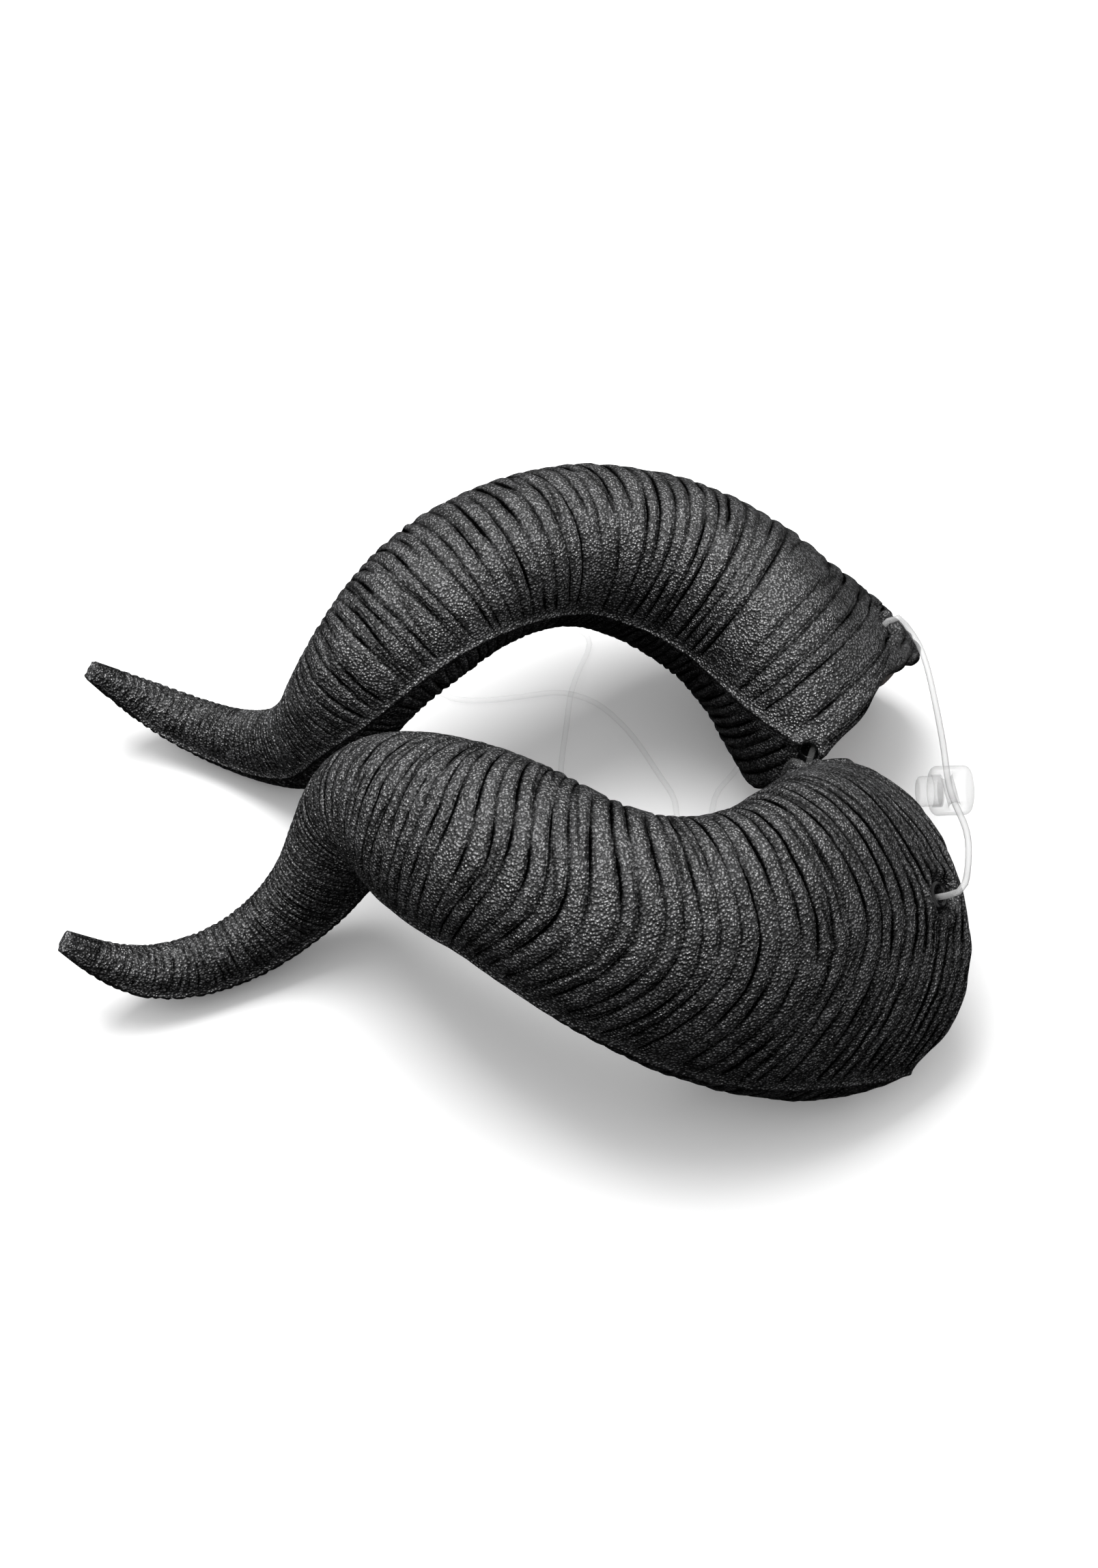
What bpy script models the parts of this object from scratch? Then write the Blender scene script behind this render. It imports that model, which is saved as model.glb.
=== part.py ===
"""A pair of costume horns of moulded black foam, tied together by clear elastic cords.

The horns are mirror twins that lie on a surface, their tips towards -X and their bases towards +X.
near is the horn at -Y and far the one at +Y. Metres, +Z up, the origin at the middle of the pair's
footprint. Shapes are worked out for the near horn, and the far one is its twin.
"""
import math

import bpy
import numpy as np
from mathutils import Matrix, Vector

# Horn, along its centreline from the tip to the base
RUN = 0.246            # tip to base along X
BOW = 0.075            # how far the middle bows out from the mirror plane
CREST = 0.0845         # height of the centreline's crest over the surface
HALF_WIDE = 0.050      # largest half width, across the mould's parting
HALF_DEEP = 0.035      # largest half depth
SEAM_CORNER = 0.0045   # how far a seam's corner stands out at the base
CORNER_SPREAD = 20.0   # degrees over which a seam's corner fades out

# Shares along the horn: run of RUN, bow of BOW, rise of CREST, wide of HALF_WIDE, deep of HALF_DEEP,
# ridge_in and ridge_out of SEAM_CORNER. roll, seam_in and seam_out are degrees about the centreline,
# counted from outwards towards upwards.
SECTIONS = {
    "run":      [-0.006, 0.085, 0.20, 0.305, 0.380, 0.465, 0.555, 0.670, 0.800, 0.910, 1.00],
    "bow":      [0.71, 0.690, 0.545, 0.365, 0.340, 0.580, 0.800, 0.990, 0.990, 0.820, 0.580],
    "rise":     [0.41, 0.190, 0.155, 0.380, 0.785, 0.960, 1.000, 0.915, 0.760, 0.590, 0.350],
    "wide":     [0.075, 0.165, 0.195, 0.255, 0.385, 0.535, 0.590, 0.670, 0.850, 0.990, 0.940],
    "deep":     [0.090, 0.245, 0.375, 0.480, 0.585, 0.665, 0.705, 0.750, 0.820, 0.900, 0.980],
    "ridge_in": [0.00, 0.00, 0.05, 0.10, 0.20, 0.30, 0.30, 0.30, 0.30, 0.45, 1.00],
    "ridge_out": [0.0, 0.00, 0.05, 0.10, 0.15, 0.20, 0.20, 0.20, 0.15, 0.05, 0.00],
    "roll":     [0, 0, 0, -4, -16, -31, -44, -54, -59, -55, -42],
    "seam_in":  [180, 184, 188, 190, 164, 166, 180, 186, 172, 154, 132],
    "seam_out": [0, -6, -12, -18, -20, -22, -22, -24, -34, -32, -30],
}

# Rim of the base: share along the horn at every 30 degrees about the centreline. Each is cut by hand.
RIM = {
    "near": [0.998, 1.003, 1.002, 1.005, 1.002, 1.003, 0.990, 0.992, 0.998, 1.000, 0.985, 0.976],
    "far":  [1.021, 1.001, 0.988, 0.984, 1.005, 1.006, 1.005, 1.000, 0.998, 0.998, 1.008, 1.038],
}
EDGE = 0.0030          # rounding of the rim's edge
DISH_DEPTH = 0.009     # of the dished face's flat middle, behind the rim's mean plane
DISH_FLAT = 0.013      # radius of the flat middle
DISH_RING = 0.62       # place of the dish's one ring, as a share from its middle to the rim

# Cross grooves between the ribs
GROOVE_DEPTH = 0.0013
GROOVE_WIDTH = 0.0030
GROOVE_PITCH = 0.26    # share of the local half width
FIRST_GROOVE = 0.22    # share along the horn, nearer the tip it is plain
LAST_GROOVE = 0.95
GROOVE_WANDER = 0.0014

INNER_GAP = 0.00265     # between the near horn and the mirror plane, where they come closest

# Far horn's lie, as the twin of the near one
FAR_SHIFT = (-0.0067, -0.0005)
FAR_TURN = math.radians(-1.4)

# Mesh of a horn
AROUND = 20
PLAIN_ROWS = 9
SLANT_FROM = 0.75      # from here on the rows turn towards the rim's slant

# Eyelets, in pits by the rim: share along, degrees about the centreline
EYELETS = {
    "near_brow": (0.966, 57.0), "near_chin": (0.956, 143.0),
    "far_brow": (0.955, 40.0), "far_chin": (0.986, 138.0),
}
EYELET_RADIUS = 0.0045
EYELET_BORE = 0.0023
EYELET_NECK = 0.0005   # ease around the cord in the barrel's neck
EYELET_FUNNEL = 0.0022 # depth at which the bore has narrowed to the neck
EYELET_BARREL = 0.0032
EYELET_RIM = 0.0012    # thickness of the flange
EYELET_LONG = 0.0050   # flange and barrel together
EYELET_SUNK = 0.0012   # how deep the flange's face lies under the skin
EYELET_SIDES = 14
PIT_GAP = 0.0003       # between eyelet and foam
PIT_OVERSHOOT = 0.006  # how far the pit's cutter stands out of the skin

# Cords: chosen route points in mm, from the far horn's eyelet to the near one's
CORD = 0.0020
BROW_ROUTE = [
    (121.5, 58.7, 53.4), (126.6, 61.0, 57.1), (131.0, 60.4, 52.8), (134.6, 57.0, 48.9),
    (136.9, 49.5, 46.7), (138.0, 39.0, 45.9), (138.7, 25.0, 46.0), (138.8, 11.0, 46.8),
    (138.5, -5.0, 49.4), (140.2, -17.0, 51.7), (140.9, -26.0, 53.6), (139.9, -35.0, 55.4),
    (138.2, -43.0, 58.0), (136.4, -49.0, 61.6), (133.9, -52.3, 61.4), (128.1, -50.7, 56.4),
]
CHIN_ROUTE = [
    (96.2, 5.9, 58.2), (94.5, 1.3, 60.5), (93.0, -3.4, 58.8), (92.2, -4.3, 52.8), (91.9, -2.3, 45.6),
    (91.4, 0.4, 36.0), (90.6, 3.0, 25.0), (89.2, 8.5, 14.0), (87.8, 17.5, 5.4), (87.0, 25.5, 1.6),
    (87.2, 32.0, 1.2), (87.8, 38.6, 1.2), (84.9, 44.0, 1.2), (78.8, 43.2, 1.2), (75.0, 38.4, 1.2),
    (71.4, 33.8, 1.2), (68.8, 28.2, 1.2), (67.4, 21.8, 1.2), (63.6, 15.9, 1.2), (57.6, 16.3, 1.2),
    (55.8, 22.4, 1.2), (55.2, 28.8, 1.2), (52.6, 34.8, 1.2), (49.3, 41.3, 1.2), (43.3, 53.3, 1.2),
    (37.3, 62.4, 1.2), (29.0, 71.0, 1.2), (18.3, 75.5, 1.2), (8.7, 74.9, 1.2), (-4.2, 72.7, 1.2),
    (-16.2, 72.1, 1.2), (-25.0, 75.4, 1.2), (-29.0, 85.0, 1.2), (-22.0, 95.0, 1.2), (-7.0, 102.0, 1.2),
    (10.0, 106.5, 1.2), (22.0, 106.0, 1.2), (27.3, 100.0, 1.2), (25.2, 90.5, 1.6), (22.4, 81.5, 2.9),
    (20.2, 72.0, 3.1), (19.0, 62.0, 1.4), (17.6, 50.0, 1.2), (16.8, 38.0, 1.2), (17.5, 22.0, 1.2),
    (22.0, 6.0, 1.2), (34.0, -6.0, 1.2), (50.0, -9.0, 1.2), (64.0, -7.0, 2.0), (75.0, -4.0, 9.0),
    (82.0, -2.0, 24.0), (85.4, -0.8, 42.0), (87.0, -1.0, 56.0), (89.8, -4.6, 63.4), (94.5, -11.8, 62.6),
]
CORD_STEP = 0.0066     # between the points of a cord's tube
CORD_LOW = 0.0011      # lowest height of a cord's middle over the surface

# Cord lock, on the brow cord at this point of its route
LOCK_POINT = 8
LOCK_RADIUS = 0.0078
LOCK_LONG = 0.0125
LOCK_ROUNDING = 0.0022
LOCK_BORE = 0.0019
LOCK_SIDES = 20
BUTTON_RADIUS = 0.0048
BUTTON_OUT = 0.0042    # length of the button outside the body
BUTTON_IN = 0.0030     # and inside it
BUTTON_GAP = 0.0003


def material(name, colour, roughness, metallic=0.0, alpha=1.0):
    """A Principled material in the colour, roughness and metal of one part."""
    made = bpy.data.materials.new(name)
    made.use_nodes = True
    shader = made.node_tree.nodes["Principled BSDF"]
    shader.inputs["Base Color"].default_value = (*colour, 1.0)
    shader.inputs["Roughness"].default_value = roughness
    shader.inputs["Metallic"].default_value = metallic
    shader.inputs["Alpha"].default_value = alpha
    return made


def add_mesh(name, points, faces, finish, place=None, smooth=40.0):
    """A named mesh object with its finish and place, its round parts shaded smooth."""
    mesh = bpy.data.meshes.new(name)
    mesh.from_pydata([tuple(point) for point in points], [], faces)
    mesh.update()
    mesh.shade_smooth()
    mesh.set_sharp_from_angle(angle=math.radians(smooth))
    mesh.materials.append(finish)
    made = bpy.data.objects.new(name, mesh)
    bpy.context.scene.collection.objects.link(made)
    if place is not None:
        made.matrix_world = place
    return made


def add_turned(name, profile, sides, finish, place, ring=False):
    """A solid turned about its own Z from (radius, height) points, listed up its outer side.

    A ring's profile is a closed loop; any other profile starts and ends on the axis.
    """
    inner = profile if ring else profile[1:-1]
    turns = [2.0 * math.pi * side / sides for side in range(sides)]
    points = [(r * math.cos(a), r * math.sin(a), z) for r, z in inner for a in turns]
    loops = len(inner) if ring else len(inner) - 1
    faces = []
    for row in range(loops):
        low, high = row * sides, (row + 1) % len(inner) * sides
        for side in range(sides):
            after = (side + 1) % sides
            faces.append((low + side, low + after, high + after, high + side))
    if not ring:
        bottom, top = len(points), len(points) + 1
        points += [(0.0, 0.0, profile[0][1]), (0.0, 0.0, profile[-1][1])]
        last = (len(inner) - 1) * sides
        for side in range(sides):
            after = (side + 1) % sides
            faces.append((bottom, after, side))
            faces.append((top, last + side, last + after))
    return add_mesh(name, points, faces, finish, place)


def cut(body, cutter):
    """Cuts one object from another and leaves the cutter out of the model."""
    cutter.hide_render = True
    cutter.display_type = "WIRE"
    hole = body.modifiers.new(cutter.name, "BOOLEAN")
    hole.operation = "DIFFERENCE"
    hole.object = cutter


def natural_spline(values, at):
    """Natural cubic spline through values at equal steps from 0 to 1, read at the shares in at."""
    values = np.asarray(values, float)
    last = len(values) - 1
    system = np.eye(last + 1)
    right = np.zeros(values.shape)
    for row in range(1, last):
        system[row, row - 1:row + 2] = (1.0, 4.0, 1.0)
        right[row] = 6.0 * (values[row - 1] - 2.0 * values[row] + values[row + 1])
    bends = np.linalg.solve(system, right)
    place = np.clip(np.asarray(at, float), 0.0, 1.0) * last
    step = np.minimum(place.astype(int), last - 1)
    along = place - step
    if values.ndim > 1:
        along = along[:, None]
    back = 1.0 - along
    return (back * values[step] + along * values[step + 1]
            + ((back ** 3 - back) * bends[step] + (along ** 3 - along) * bends[step + 1]) / 6.0)


def column(name, at):
    """One column of SECTIONS, read smoothly at the shares in at."""
    return natural_spline(SECTIONS[name], at)


def centreline(at):
    """Centre points of the near horn; past the base they run straight on."""
    rows = np.stack([(np.array(SECTIONS["run"]) - 0.5) * RUN,
                     -np.array(SECTIONS["bow"]) * BOW,
                     np.array(SECTIONS["rise"]) * CREST], 1)
    step = 0.01
    ends = natural_spline(rows, np.array([1.0 - step, 1.0]))
    past = np.maximum(at - 1.0, 0.0) / step
    return natural_spline(rows, at) + past[:, None] * (ends[1] - ends[0])


def frames(at):
    """Unit vectors outwards and upwards of the centreline, square to it."""
    step = 0.004
    along = centreline(at + step) - centreline(np.maximum(at - step, 0.0))
    along /= np.linalg.norm(along, axis=1)[:, None]
    upwards = np.array([0.0, 0.0, 1.0]) - along[:, 2:] * along
    upwards /= np.linalg.norm(upwards, axis=1)[:, None]
    return np.cross(along, upwards), upwards


def skin(at, angle, sunk=0.0):
    """Points of the near horn's skin at shares along and angles in degrees, sunk below it.

    A section is a rolled oval, with a soft corner where each mould seam runs.
    """
    at, angle, sunk = np.broadcast_arrays(np.asarray(at, float), np.asarray(angle, float), sunk)
    shape = at.shape
    at, angle = at.ravel(), angle.ravel()
    outwards, upwards = frames(at)
    wide = column("wide", at) * HALF_WIDE
    deep = column("deep", at) * HALF_DEEP
    turn = np.radians(angle - column("roll", at))
    reach = 1.0 / np.sqrt((np.cos(turn) / wide) ** 2 + (np.sin(turn) / deep) ** 2) - sunk.ravel()
    for seam, ridge in (("seam_in", "ridge_in"), ("seam_out", "ridge_out")):
        off = (angle - column(seam, at) + 180.0) % 360.0 - 180.0
        reach = reach + column(ridge, at) * SEAM_CORNER * np.exp(-np.abs(off) / CORNER_SPREAD)
    around = np.radians(angle)
    points = (centreline(at) + (reach * np.cos(around))[:, None] * outwards
              + (reach * np.sin(around))[:, None] * upwards)
    return points.reshape(shape + (3,))


def rim_shares(side, angles):
    """Share along the horn of one horn's rim at angles in degrees, eased between RIM's values."""
    values = np.array(RIM[side])
    place = np.asarray(angles, float) % 360.0 / 360.0 * len(values)
    before = place.astype(int)
    ease = 0.5 - 0.5 * np.cos(np.pi * (place - before))
    return values[before] + ease * (values[(before + 1) % len(values)] - values[before])


def horn_length():
    line = centreline(np.linspace(0.0, 1.0, 200))
    return np.linalg.norm(np.diff(line, axis=0), axis=1).sum()


def groove_shares():
    """Share along the horn of each groove, closer together where the horn is thin."""
    found = [FIRST_GROOVE]
    while found[-1] < LAST_GROOVE:
        half = column("wide", np.array(found[-1:]))[0] * HALF_WIDE
        pitch = max(GROOVE_PITCH * half, 1.6 * GROOVE_WIDTH)
        found.append(found[-1] + pitch / horn_length())
    return found[:-1]


def horn_rows():
    """Rows of the horn's mesh: share along, groove depth and wander of each."""
    half = 0.5 * GROOVE_WIDTH / horn_length()
    rows = [(share, 0.0, 0.0) for share in np.linspace(0.0, FIRST_GROOVE - 2.0 * half, PLAIN_ROWS)]
    for count, share in enumerate(groove_shares()):
        lean = math.sin(2.3 * count) * GROOVE_WANDER / horn_length()
        deepness = GROOVE_DEPTH * (0.7 + 0.3 * math.sin(1.7 * count + 0.5))
        rows += [(share - half, 0.0, lean), (share, deepness, lean), (share + half, 0.0, lean)]
    for turn in (0.0, 45.0, 90.0):
        back = EDGE * (1.0 - math.sin(math.radians(turn))) / horn_length()
        rows.append((1.0 - back, EDGE * (1.0 - math.cos(math.radians(turn))), 0.0))
    return np.array(rows)


def horn_skin_rows(side):
    """Rows of skin points from the tip to the rim, with one horn's rim, set in the near horn."""
    angles = np.arange(AROUND) * 360.0 / AROUND
    rows = horn_rows()
    share = rows[:, 0:1] + rows[:, 2:3] * np.sin(np.radians(2.0 * angles + 40.0))[None, :]
    slant = np.clip((share - SLANT_FROM) / (1.0 - SLANT_FROM), 0.0, 1.0) ** 2
    share = share + (rim_shares(side, angles) - 1.0)[None, :] * slant
    return skin(np.maximum(share, 0.0), angles[None, :], rows[:, 1:2])


def base_plane(rim):
    """Middle of a rim and the outward direction of the face that it bounds."""
    middle = rim.mean(axis=0)
    facing = np.cross(rim - middle, np.roll(rim, -1, axis=0) - middle).sum(axis=0)
    return middle, -facing / np.linalg.norm(facing)


def dish_rows(rim):
    """Rings of the dished face inside the rim, the inner one flat, and its middle point."""
    middle, facing = base_plane(rim)
    offset = rim - middle
    height = offset @ facing
    across = offset - height[:, None] * facing
    radius = np.linalg.norm(across, axis=1)[:, None]
    outer = middle + DISH_RING * offset - DISH_DEPTH * (1.0 - DISH_RING ** 2) * facing
    centre = middle - DISH_DEPTH * facing
    return [outer, centre + across * DISH_FLAT / radius], centre


def resting_place():
    """Height and slope of the line along X that both the tip half and the base half stand on, and
    the step sideways that leaves INNER_GAP between the skin and the mirror plane.
    """
    rows = horn_skin_rows("near")
    half = len(rows) // 2
    tip_half, base_half = rows[:half].reshape(-1, 3), rows[half:].reshape(-1, 3)
    tip_low = tip_half[tip_half[:, 2].argmin()]
    base_low = base_half[base_half[:, 2].argmin()]
    slope = (base_low[2] - tip_low[2]) / (base_low[0] - tip_low[0])
    return tip_low[2] - slope * tip_low[0], slope, rows[..., 1].max() + INNER_GAP


def placed(points, side, rest, origin):
    """Points of the near horn's own frame, set down on the surface as the near or the far horn."""
    points = np.array(points, float)
    points[..., 2] -= rest[0] + rest[1] * points[..., 0]
    points[..., 1] -= rest[2]
    if side == "far":
        cos, sin = math.cos(FAR_TURN), math.sin(FAR_TURN)
        x, y = points[..., 0].copy(), -points[..., 1]
        points[..., 0] = cos * x - sin * y + FAR_SHIFT[0]
        points[..., 1] = sin * x + cos * y + FAR_SHIFT[1]
    points[..., :2] -= origin
    return points


def footprint_middle(rest):
    """Middle of both horns' footprint, which the origin is moved to."""
    both = np.concatenate([placed(horn_skin_rows(side).reshape(-1, 3), side, rest, (0.0, 0.0))
                           for side in ("near", "far")])
    return 0.5 * (both[:, :2].min(axis=0) + both[:, :2].max(axis=0))


def add_horn(side, finish, rest, origin):
    """One horn as a closed skin: blunt tip, grooved length, rim and dished face."""
    rows = horn_skin_rows(side)
    rings, middle = dish_rows(rows[-1])
    grid = np.concatenate([rows, np.array(rings)])
    tip = rows[0].mean(axis=0)
    points = np.concatenate([grid.reshape(-1, 3), [tip, middle]])
    points = placed(points, side, rest, origin)
    points[:, 2] = np.maximum(points[:, 2], 0.0)  # the soft rim is pressed flat where it stands
    faces = []
    for row in range(len(grid) - 1):
        for place in range(AROUND):
            after = (place + 1) % AROUND
            low, high = row * AROUND, (row + 1) * AROUND
            faces.append((low + place, high + place, high + after, low + after))
    last = (len(grid) - 1) * AROUND
    for place in range(AROUND):
        after = (place + 1) % AROUND
        faces.append((place, after, len(points) - 2))
        faces.append((last + after, last + place, len(points) - 1))
    if side == "near":
        faces = [tuple(reversed(face)) for face in faces]
    return add_mesh("horn_" + side, points, faces, finish)


def seat(place, side, rest, origin, sunk=0.0):
    """Matrix at a place on a horn's skin, its Z along the outward normal, sunk below the skin."""
    share, angle = place
    near_by = skin(np.array([share, share + 0.01, share]), np.array([angle, angle, angle + 2.0]))
    point, along, around = placed(near_by, side, rest, origin)
    middle = placed(centreline(np.array([share])), side, rest, origin)[0]
    normal = np.cross(along - point, around - point)
    normal /= np.linalg.norm(normal)
    if normal @ (point - middle) < 0.0:
        normal = -normal
    turn = Vector(normal).to_track_quat("Z", "X").to_matrix().to_4x4()
    return Matrix.Translation(Vector(point - sunk * normal)) @ turn


def add_eyelet(where_on, horn, finish, rest, origin):
    """A flanged eyelet and the stepped pit that it sits in."""
    name = "eyelet_" + where_on
    where = seat(EYELETS[where_on], where_on.split("_")[0], rest, origin, EYELET_SUNK)
    bevel = 0.35 * EYELET_RIM
    neck = 0.5 * CORD + EYELET_NECK
    ring = [
        (neck, -EYELET_FUNNEL), (neck, -EYELET_LONG), (EYELET_BARREL, -EYELET_LONG),
        (EYELET_BARREL, -EYELET_RIM), (EYELET_RADIUS, -EYELET_RIM), (EYELET_RADIUS, -bevel),
        (EYELET_RADIUS - bevel, 0.0), (EYELET_BORE + bevel, 0.0), (EYELET_BORE, -bevel),
    ]
    add_turned(name, ring, EYELET_SIDES, finish, where, ring=True)
    wide, barrel = EYELET_RADIUS + PIT_GAP, EYELET_BARREL + PIT_GAP
    step, floor = -EYELET_RIM - PIT_GAP, -EYELET_LONG - PIT_GAP
    pit = [(0.0, floor), (barrel, floor), (barrel, step), (wide, step), (wide, PIT_OVERSHOOT),
           (0.0, PIT_OVERSHOOT)]
    cut(horn, add_turned(name + "_pit", pit, EYELET_SIDES, finish, where))


def route_reader(route):
    """Points of a smooth curve through a route, and its length up to each."""
    points = natural_spline(route, np.linspace(0.0, 1.0, 40 * len(route))) / 1000.0
    points[:, 2] = np.maximum(points[:, 2], CORD_LOW)
    steps = np.linalg.norm(np.diff(points, axis=0), axis=1)
    return points, np.concatenate([[0.0], np.cumsum(steps)])


def add_cord(name, route, finish):
    """A cord's tube along a smooth curve through its route, with filled ends."""
    points, length = route_reader(route)
    count = int(round(length[-1] / CORD_STEP)) + 1
    at = np.linspace(0.0, length[-1], count)
    line = np.stack([np.interp(at, length, points[:, axis]) for axis in range(3)], 1)
    curve = bpy.data.curves.new(name, "CURVE")
    curve.dimensions = "3D"
    curve.bevel_depth = 0.5 * CORD
    curve.bevel_resolution = 2
    curve.use_fill_caps = True
    spline = curve.splines.new("POLY")
    spline.points.add(count - 1)
    for point, place in zip(spline.points, line):
        point.co = (*place, 1.0)
    curve.materials.append(finish)
    bpy.context.scene.collection.objects.link(bpy.data.objects.new(name, curve))


def add_lock(finish):
    """The cord lock: a round body with a cross bore for the cord, and the button in its end."""
    at = LOCK_POINT / (len(BROW_ROUTE) - 1.0)
    before, here, after = natural_spline(BROW_ROUTE, np.array([at - 0.01, at, at + 0.01])) / 1000.0
    middle = Vector(here)
    cordway = Vector(after - before).normalized()
    button_way = Vector((-1.0, 0.0, 0.0))
    button_way = (button_way - cordway * button_way.dot(cordway)).normalized()
    side_way = cordway.cross(button_way)
    turn = Matrix((side_way, cordway, button_way)).transposed().to_4x4()
    where = Matrix.Translation(middle) @ turn
    half, edge = 0.5 * LOCK_LONG, LOCK_ROUNDING
    quarter = [math.radians(angle) for angle in (0.0, 30.0, 60.0, 90.0)]
    lower = [(LOCK_RADIUS - edge + edge * math.sin(a), -half + edge - edge * math.cos(a)) for a in quarter]
    upper = [(r, -z) for r, z in reversed(lower)]
    socket = BUTTON_RADIUS + BUTTON_GAP
    floor = half - BUTTON_IN - BUTTON_GAP
    profile = [(0.0, -half)] + lower + upper + [(socket, half), (socket, floor), (0.0, floor)]
    body = add_turned("cord_lock_body", profile, LOCK_SIDES, finish, where)
    reach = 2.0 * LOCK_RADIUS
    bore = [(0.0, -reach), (LOCK_BORE, -reach), (LOCK_BORE, reach), (0.0, reach)]
    across = Matrix.Translation(middle) @ cordway.to_track_quat("Z", "X").to_matrix().to_4x4()
    cut(body, add_turned("cord_lock_bore", bore, LOCK_SIDES // 2, finish, across))
    inside, outside = half - BUTTON_IN, half + BUTTON_OUT
    edge = 0.2 * BUTTON_RADIUS
    knob = [(0.0, inside), (BUTTON_RADIUS, inside), (BUTTON_RADIUS, outside - edge),
            (BUTTON_RADIUS - edge, outside), (0.0, outside)]
    add_turned("cord_lock_button", knob, LOCK_SIDES, finish, where)


def build():
    for old in list(bpy.data.objects):
        bpy.data.objects.remove(old, do_unlink=True)
    foam = material("black_foam", (0.025, 0.025, 0.027), 0.55)
    metal = material("black_metal", (0.03, 0.03, 0.03), 0.35, metallic=1.0)
    clear = material("clear_plastic", (0.9, 0.9, 0.9), 0.1, alpha=0.4)
    rest = resting_place()
    origin = footprint_middle(rest)
    for side in ("near", "far"):
        horn = add_horn(side, foam, rest, origin)
        add_eyelet(side + "_brow", horn, metal, rest, origin)
        add_eyelet(side + "_chin", horn, metal, rest, origin)
    add_lock(clear)
    add_cord("brow_cord", BROW_ROUTE, clear)
    add_cord("chin_cord", CHIN_ROUTE, clear)


build()
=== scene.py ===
"""A pair of costume horns of moulded black foam, tied by clear elastic cords, on a white floor.

Metres, +Z up. The horns lie on the floor with their tips towards -X and their bases towards +X.
near is the horn at -Y and far its mirror twin at +Y.
"""
import math

import bpy
import numpy as np
from bpy.props import FloatProperty, FloatVectorProperty, PointerProperty
from mathutils import Matrix, Vector


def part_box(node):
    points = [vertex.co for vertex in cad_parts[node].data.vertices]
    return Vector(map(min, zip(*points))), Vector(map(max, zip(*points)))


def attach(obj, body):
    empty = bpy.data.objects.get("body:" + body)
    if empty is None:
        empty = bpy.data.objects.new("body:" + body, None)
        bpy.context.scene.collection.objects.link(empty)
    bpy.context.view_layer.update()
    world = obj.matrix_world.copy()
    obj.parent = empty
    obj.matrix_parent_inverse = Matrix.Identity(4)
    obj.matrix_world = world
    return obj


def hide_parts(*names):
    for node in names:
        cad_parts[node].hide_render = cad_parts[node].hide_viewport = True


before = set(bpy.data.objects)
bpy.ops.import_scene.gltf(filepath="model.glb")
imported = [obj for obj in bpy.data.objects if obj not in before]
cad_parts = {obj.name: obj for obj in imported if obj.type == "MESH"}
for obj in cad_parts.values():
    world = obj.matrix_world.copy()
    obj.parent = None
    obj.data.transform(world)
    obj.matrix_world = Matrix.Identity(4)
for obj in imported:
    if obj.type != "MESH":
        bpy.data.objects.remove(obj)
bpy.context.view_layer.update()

bl_info = {
    "name": "Costume horns",
    "version": (1, 0, 0),
    "blender": (4, 5, 0),
    "location": "View3D > Sidebar > Horns",
    "description": "A pair of ribbed foam horns with clear elastic cords",
    "category": "Add Mesh",
}


def linear(code):
    """Linear red, green and blue of an sRGB hex colour such as "#1A1A1B"."""
    shares = [int(code[i:i + 2], 16) / 255.0 for i in (1, 3, 5)]
    return tuple(s / 12.92 if s <= 0.04045 else ((s + 0.055) / 1.055) ** 2.4 for s in shares)


def length(name, text, metres):
    """A length that a user may change."""
    return FloatProperty(name=name, description=text, default=metres, unit="LENGTH")


def colour(name, text, code):
    """A colour that a user may change, from its sRGB hex code."""
    return FloatVectorProperty(name=name, description=text, subtype="COLOR", default=linear(code))


# Shape of a horn

# Shares along the horn: run of run, bow of bow, rise of crest, wide of half_wide, deep of half_deep,
# ridge_in and ridge_out of seam_corner. roll, seam_in and seam_out are degrees about the centreline,
# counted from outwards towards upwards.
SECTIONS = {
    "run":      [-0.006, 0.085, 0.20, 0.305, 0.380, 0.465, 0.555, 0.670, 0.800, 0.910, 1.00],
    "bow":      [0.71, 0.690, 0.545, 0.365, 0.340, 0.580, 0.800, 0.990, 0.990, 0.820, 0.580],
    "rise":     [0.41, 0.190, 0.155, 0.380, 0.785, 0.960, 1.000, 0.915, 0.760, 0.590, 0.350],
    "wide":     [0.075, 0.165, 0.195, 0.255, 0.385, 0.535, 0.590, 0.670, 0.850, 0.990, 0.940],
    "deep":     [0.090, 0.245, 0.375, 0.480, 0.585, 0.665, 0.705, 0.750, 0.820, 0.900, 0.980],
    "ridge_in": [0.00, 0.00, 0.05, 0.10, 0.20, 0.30, 0.30, 0.30, 0.30, 0.45, 1.00],
    "ridge_out": [0.0, 0.00, 0.05, 0.10, 0.15, 0.20, 0.20, 0.20, 0.15, 0.05, 0.00],
    "roll":     [0, 0, 0, -4, -16, -31, -44, -54, -59, -55, -42],
    "seam_in":  [180, 184, 188, 190, 164, 166, 180, 186, 172, 154, 132],
    "seam_out": [0, -6, -12, -18, -20, -22, -22, -24, -34, -32, -30],
}

# Distance between the cross grooves in mm, and their depth and half width as shares of the largest,
# along the horn in the same steps as SECTIONS
GROOVES = {
    "near_pitch": [3.00, 2.80, 2.60, 2.50, 3.00, 4.00, 5.20, 5.40, 4.80, 4.20, 4.00],
    "far_pitch": [3.00, 2.80, 2.60, 2.50, 3.00, 3.80, 4.40, 4.60, 4.80, 4.80, 4.40],
    "depth": [0.55, 0.65, 0.65, 0.70, 0.85, 0.95, 1.00, 1.00, 1.00, 1.00, 1.00],
    "width": [0.75, 0.75, 0.70, 0.75, 0.85, 0.95, 1.00, 1.00, 1.00, 1.00, 1.00],
}

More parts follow.
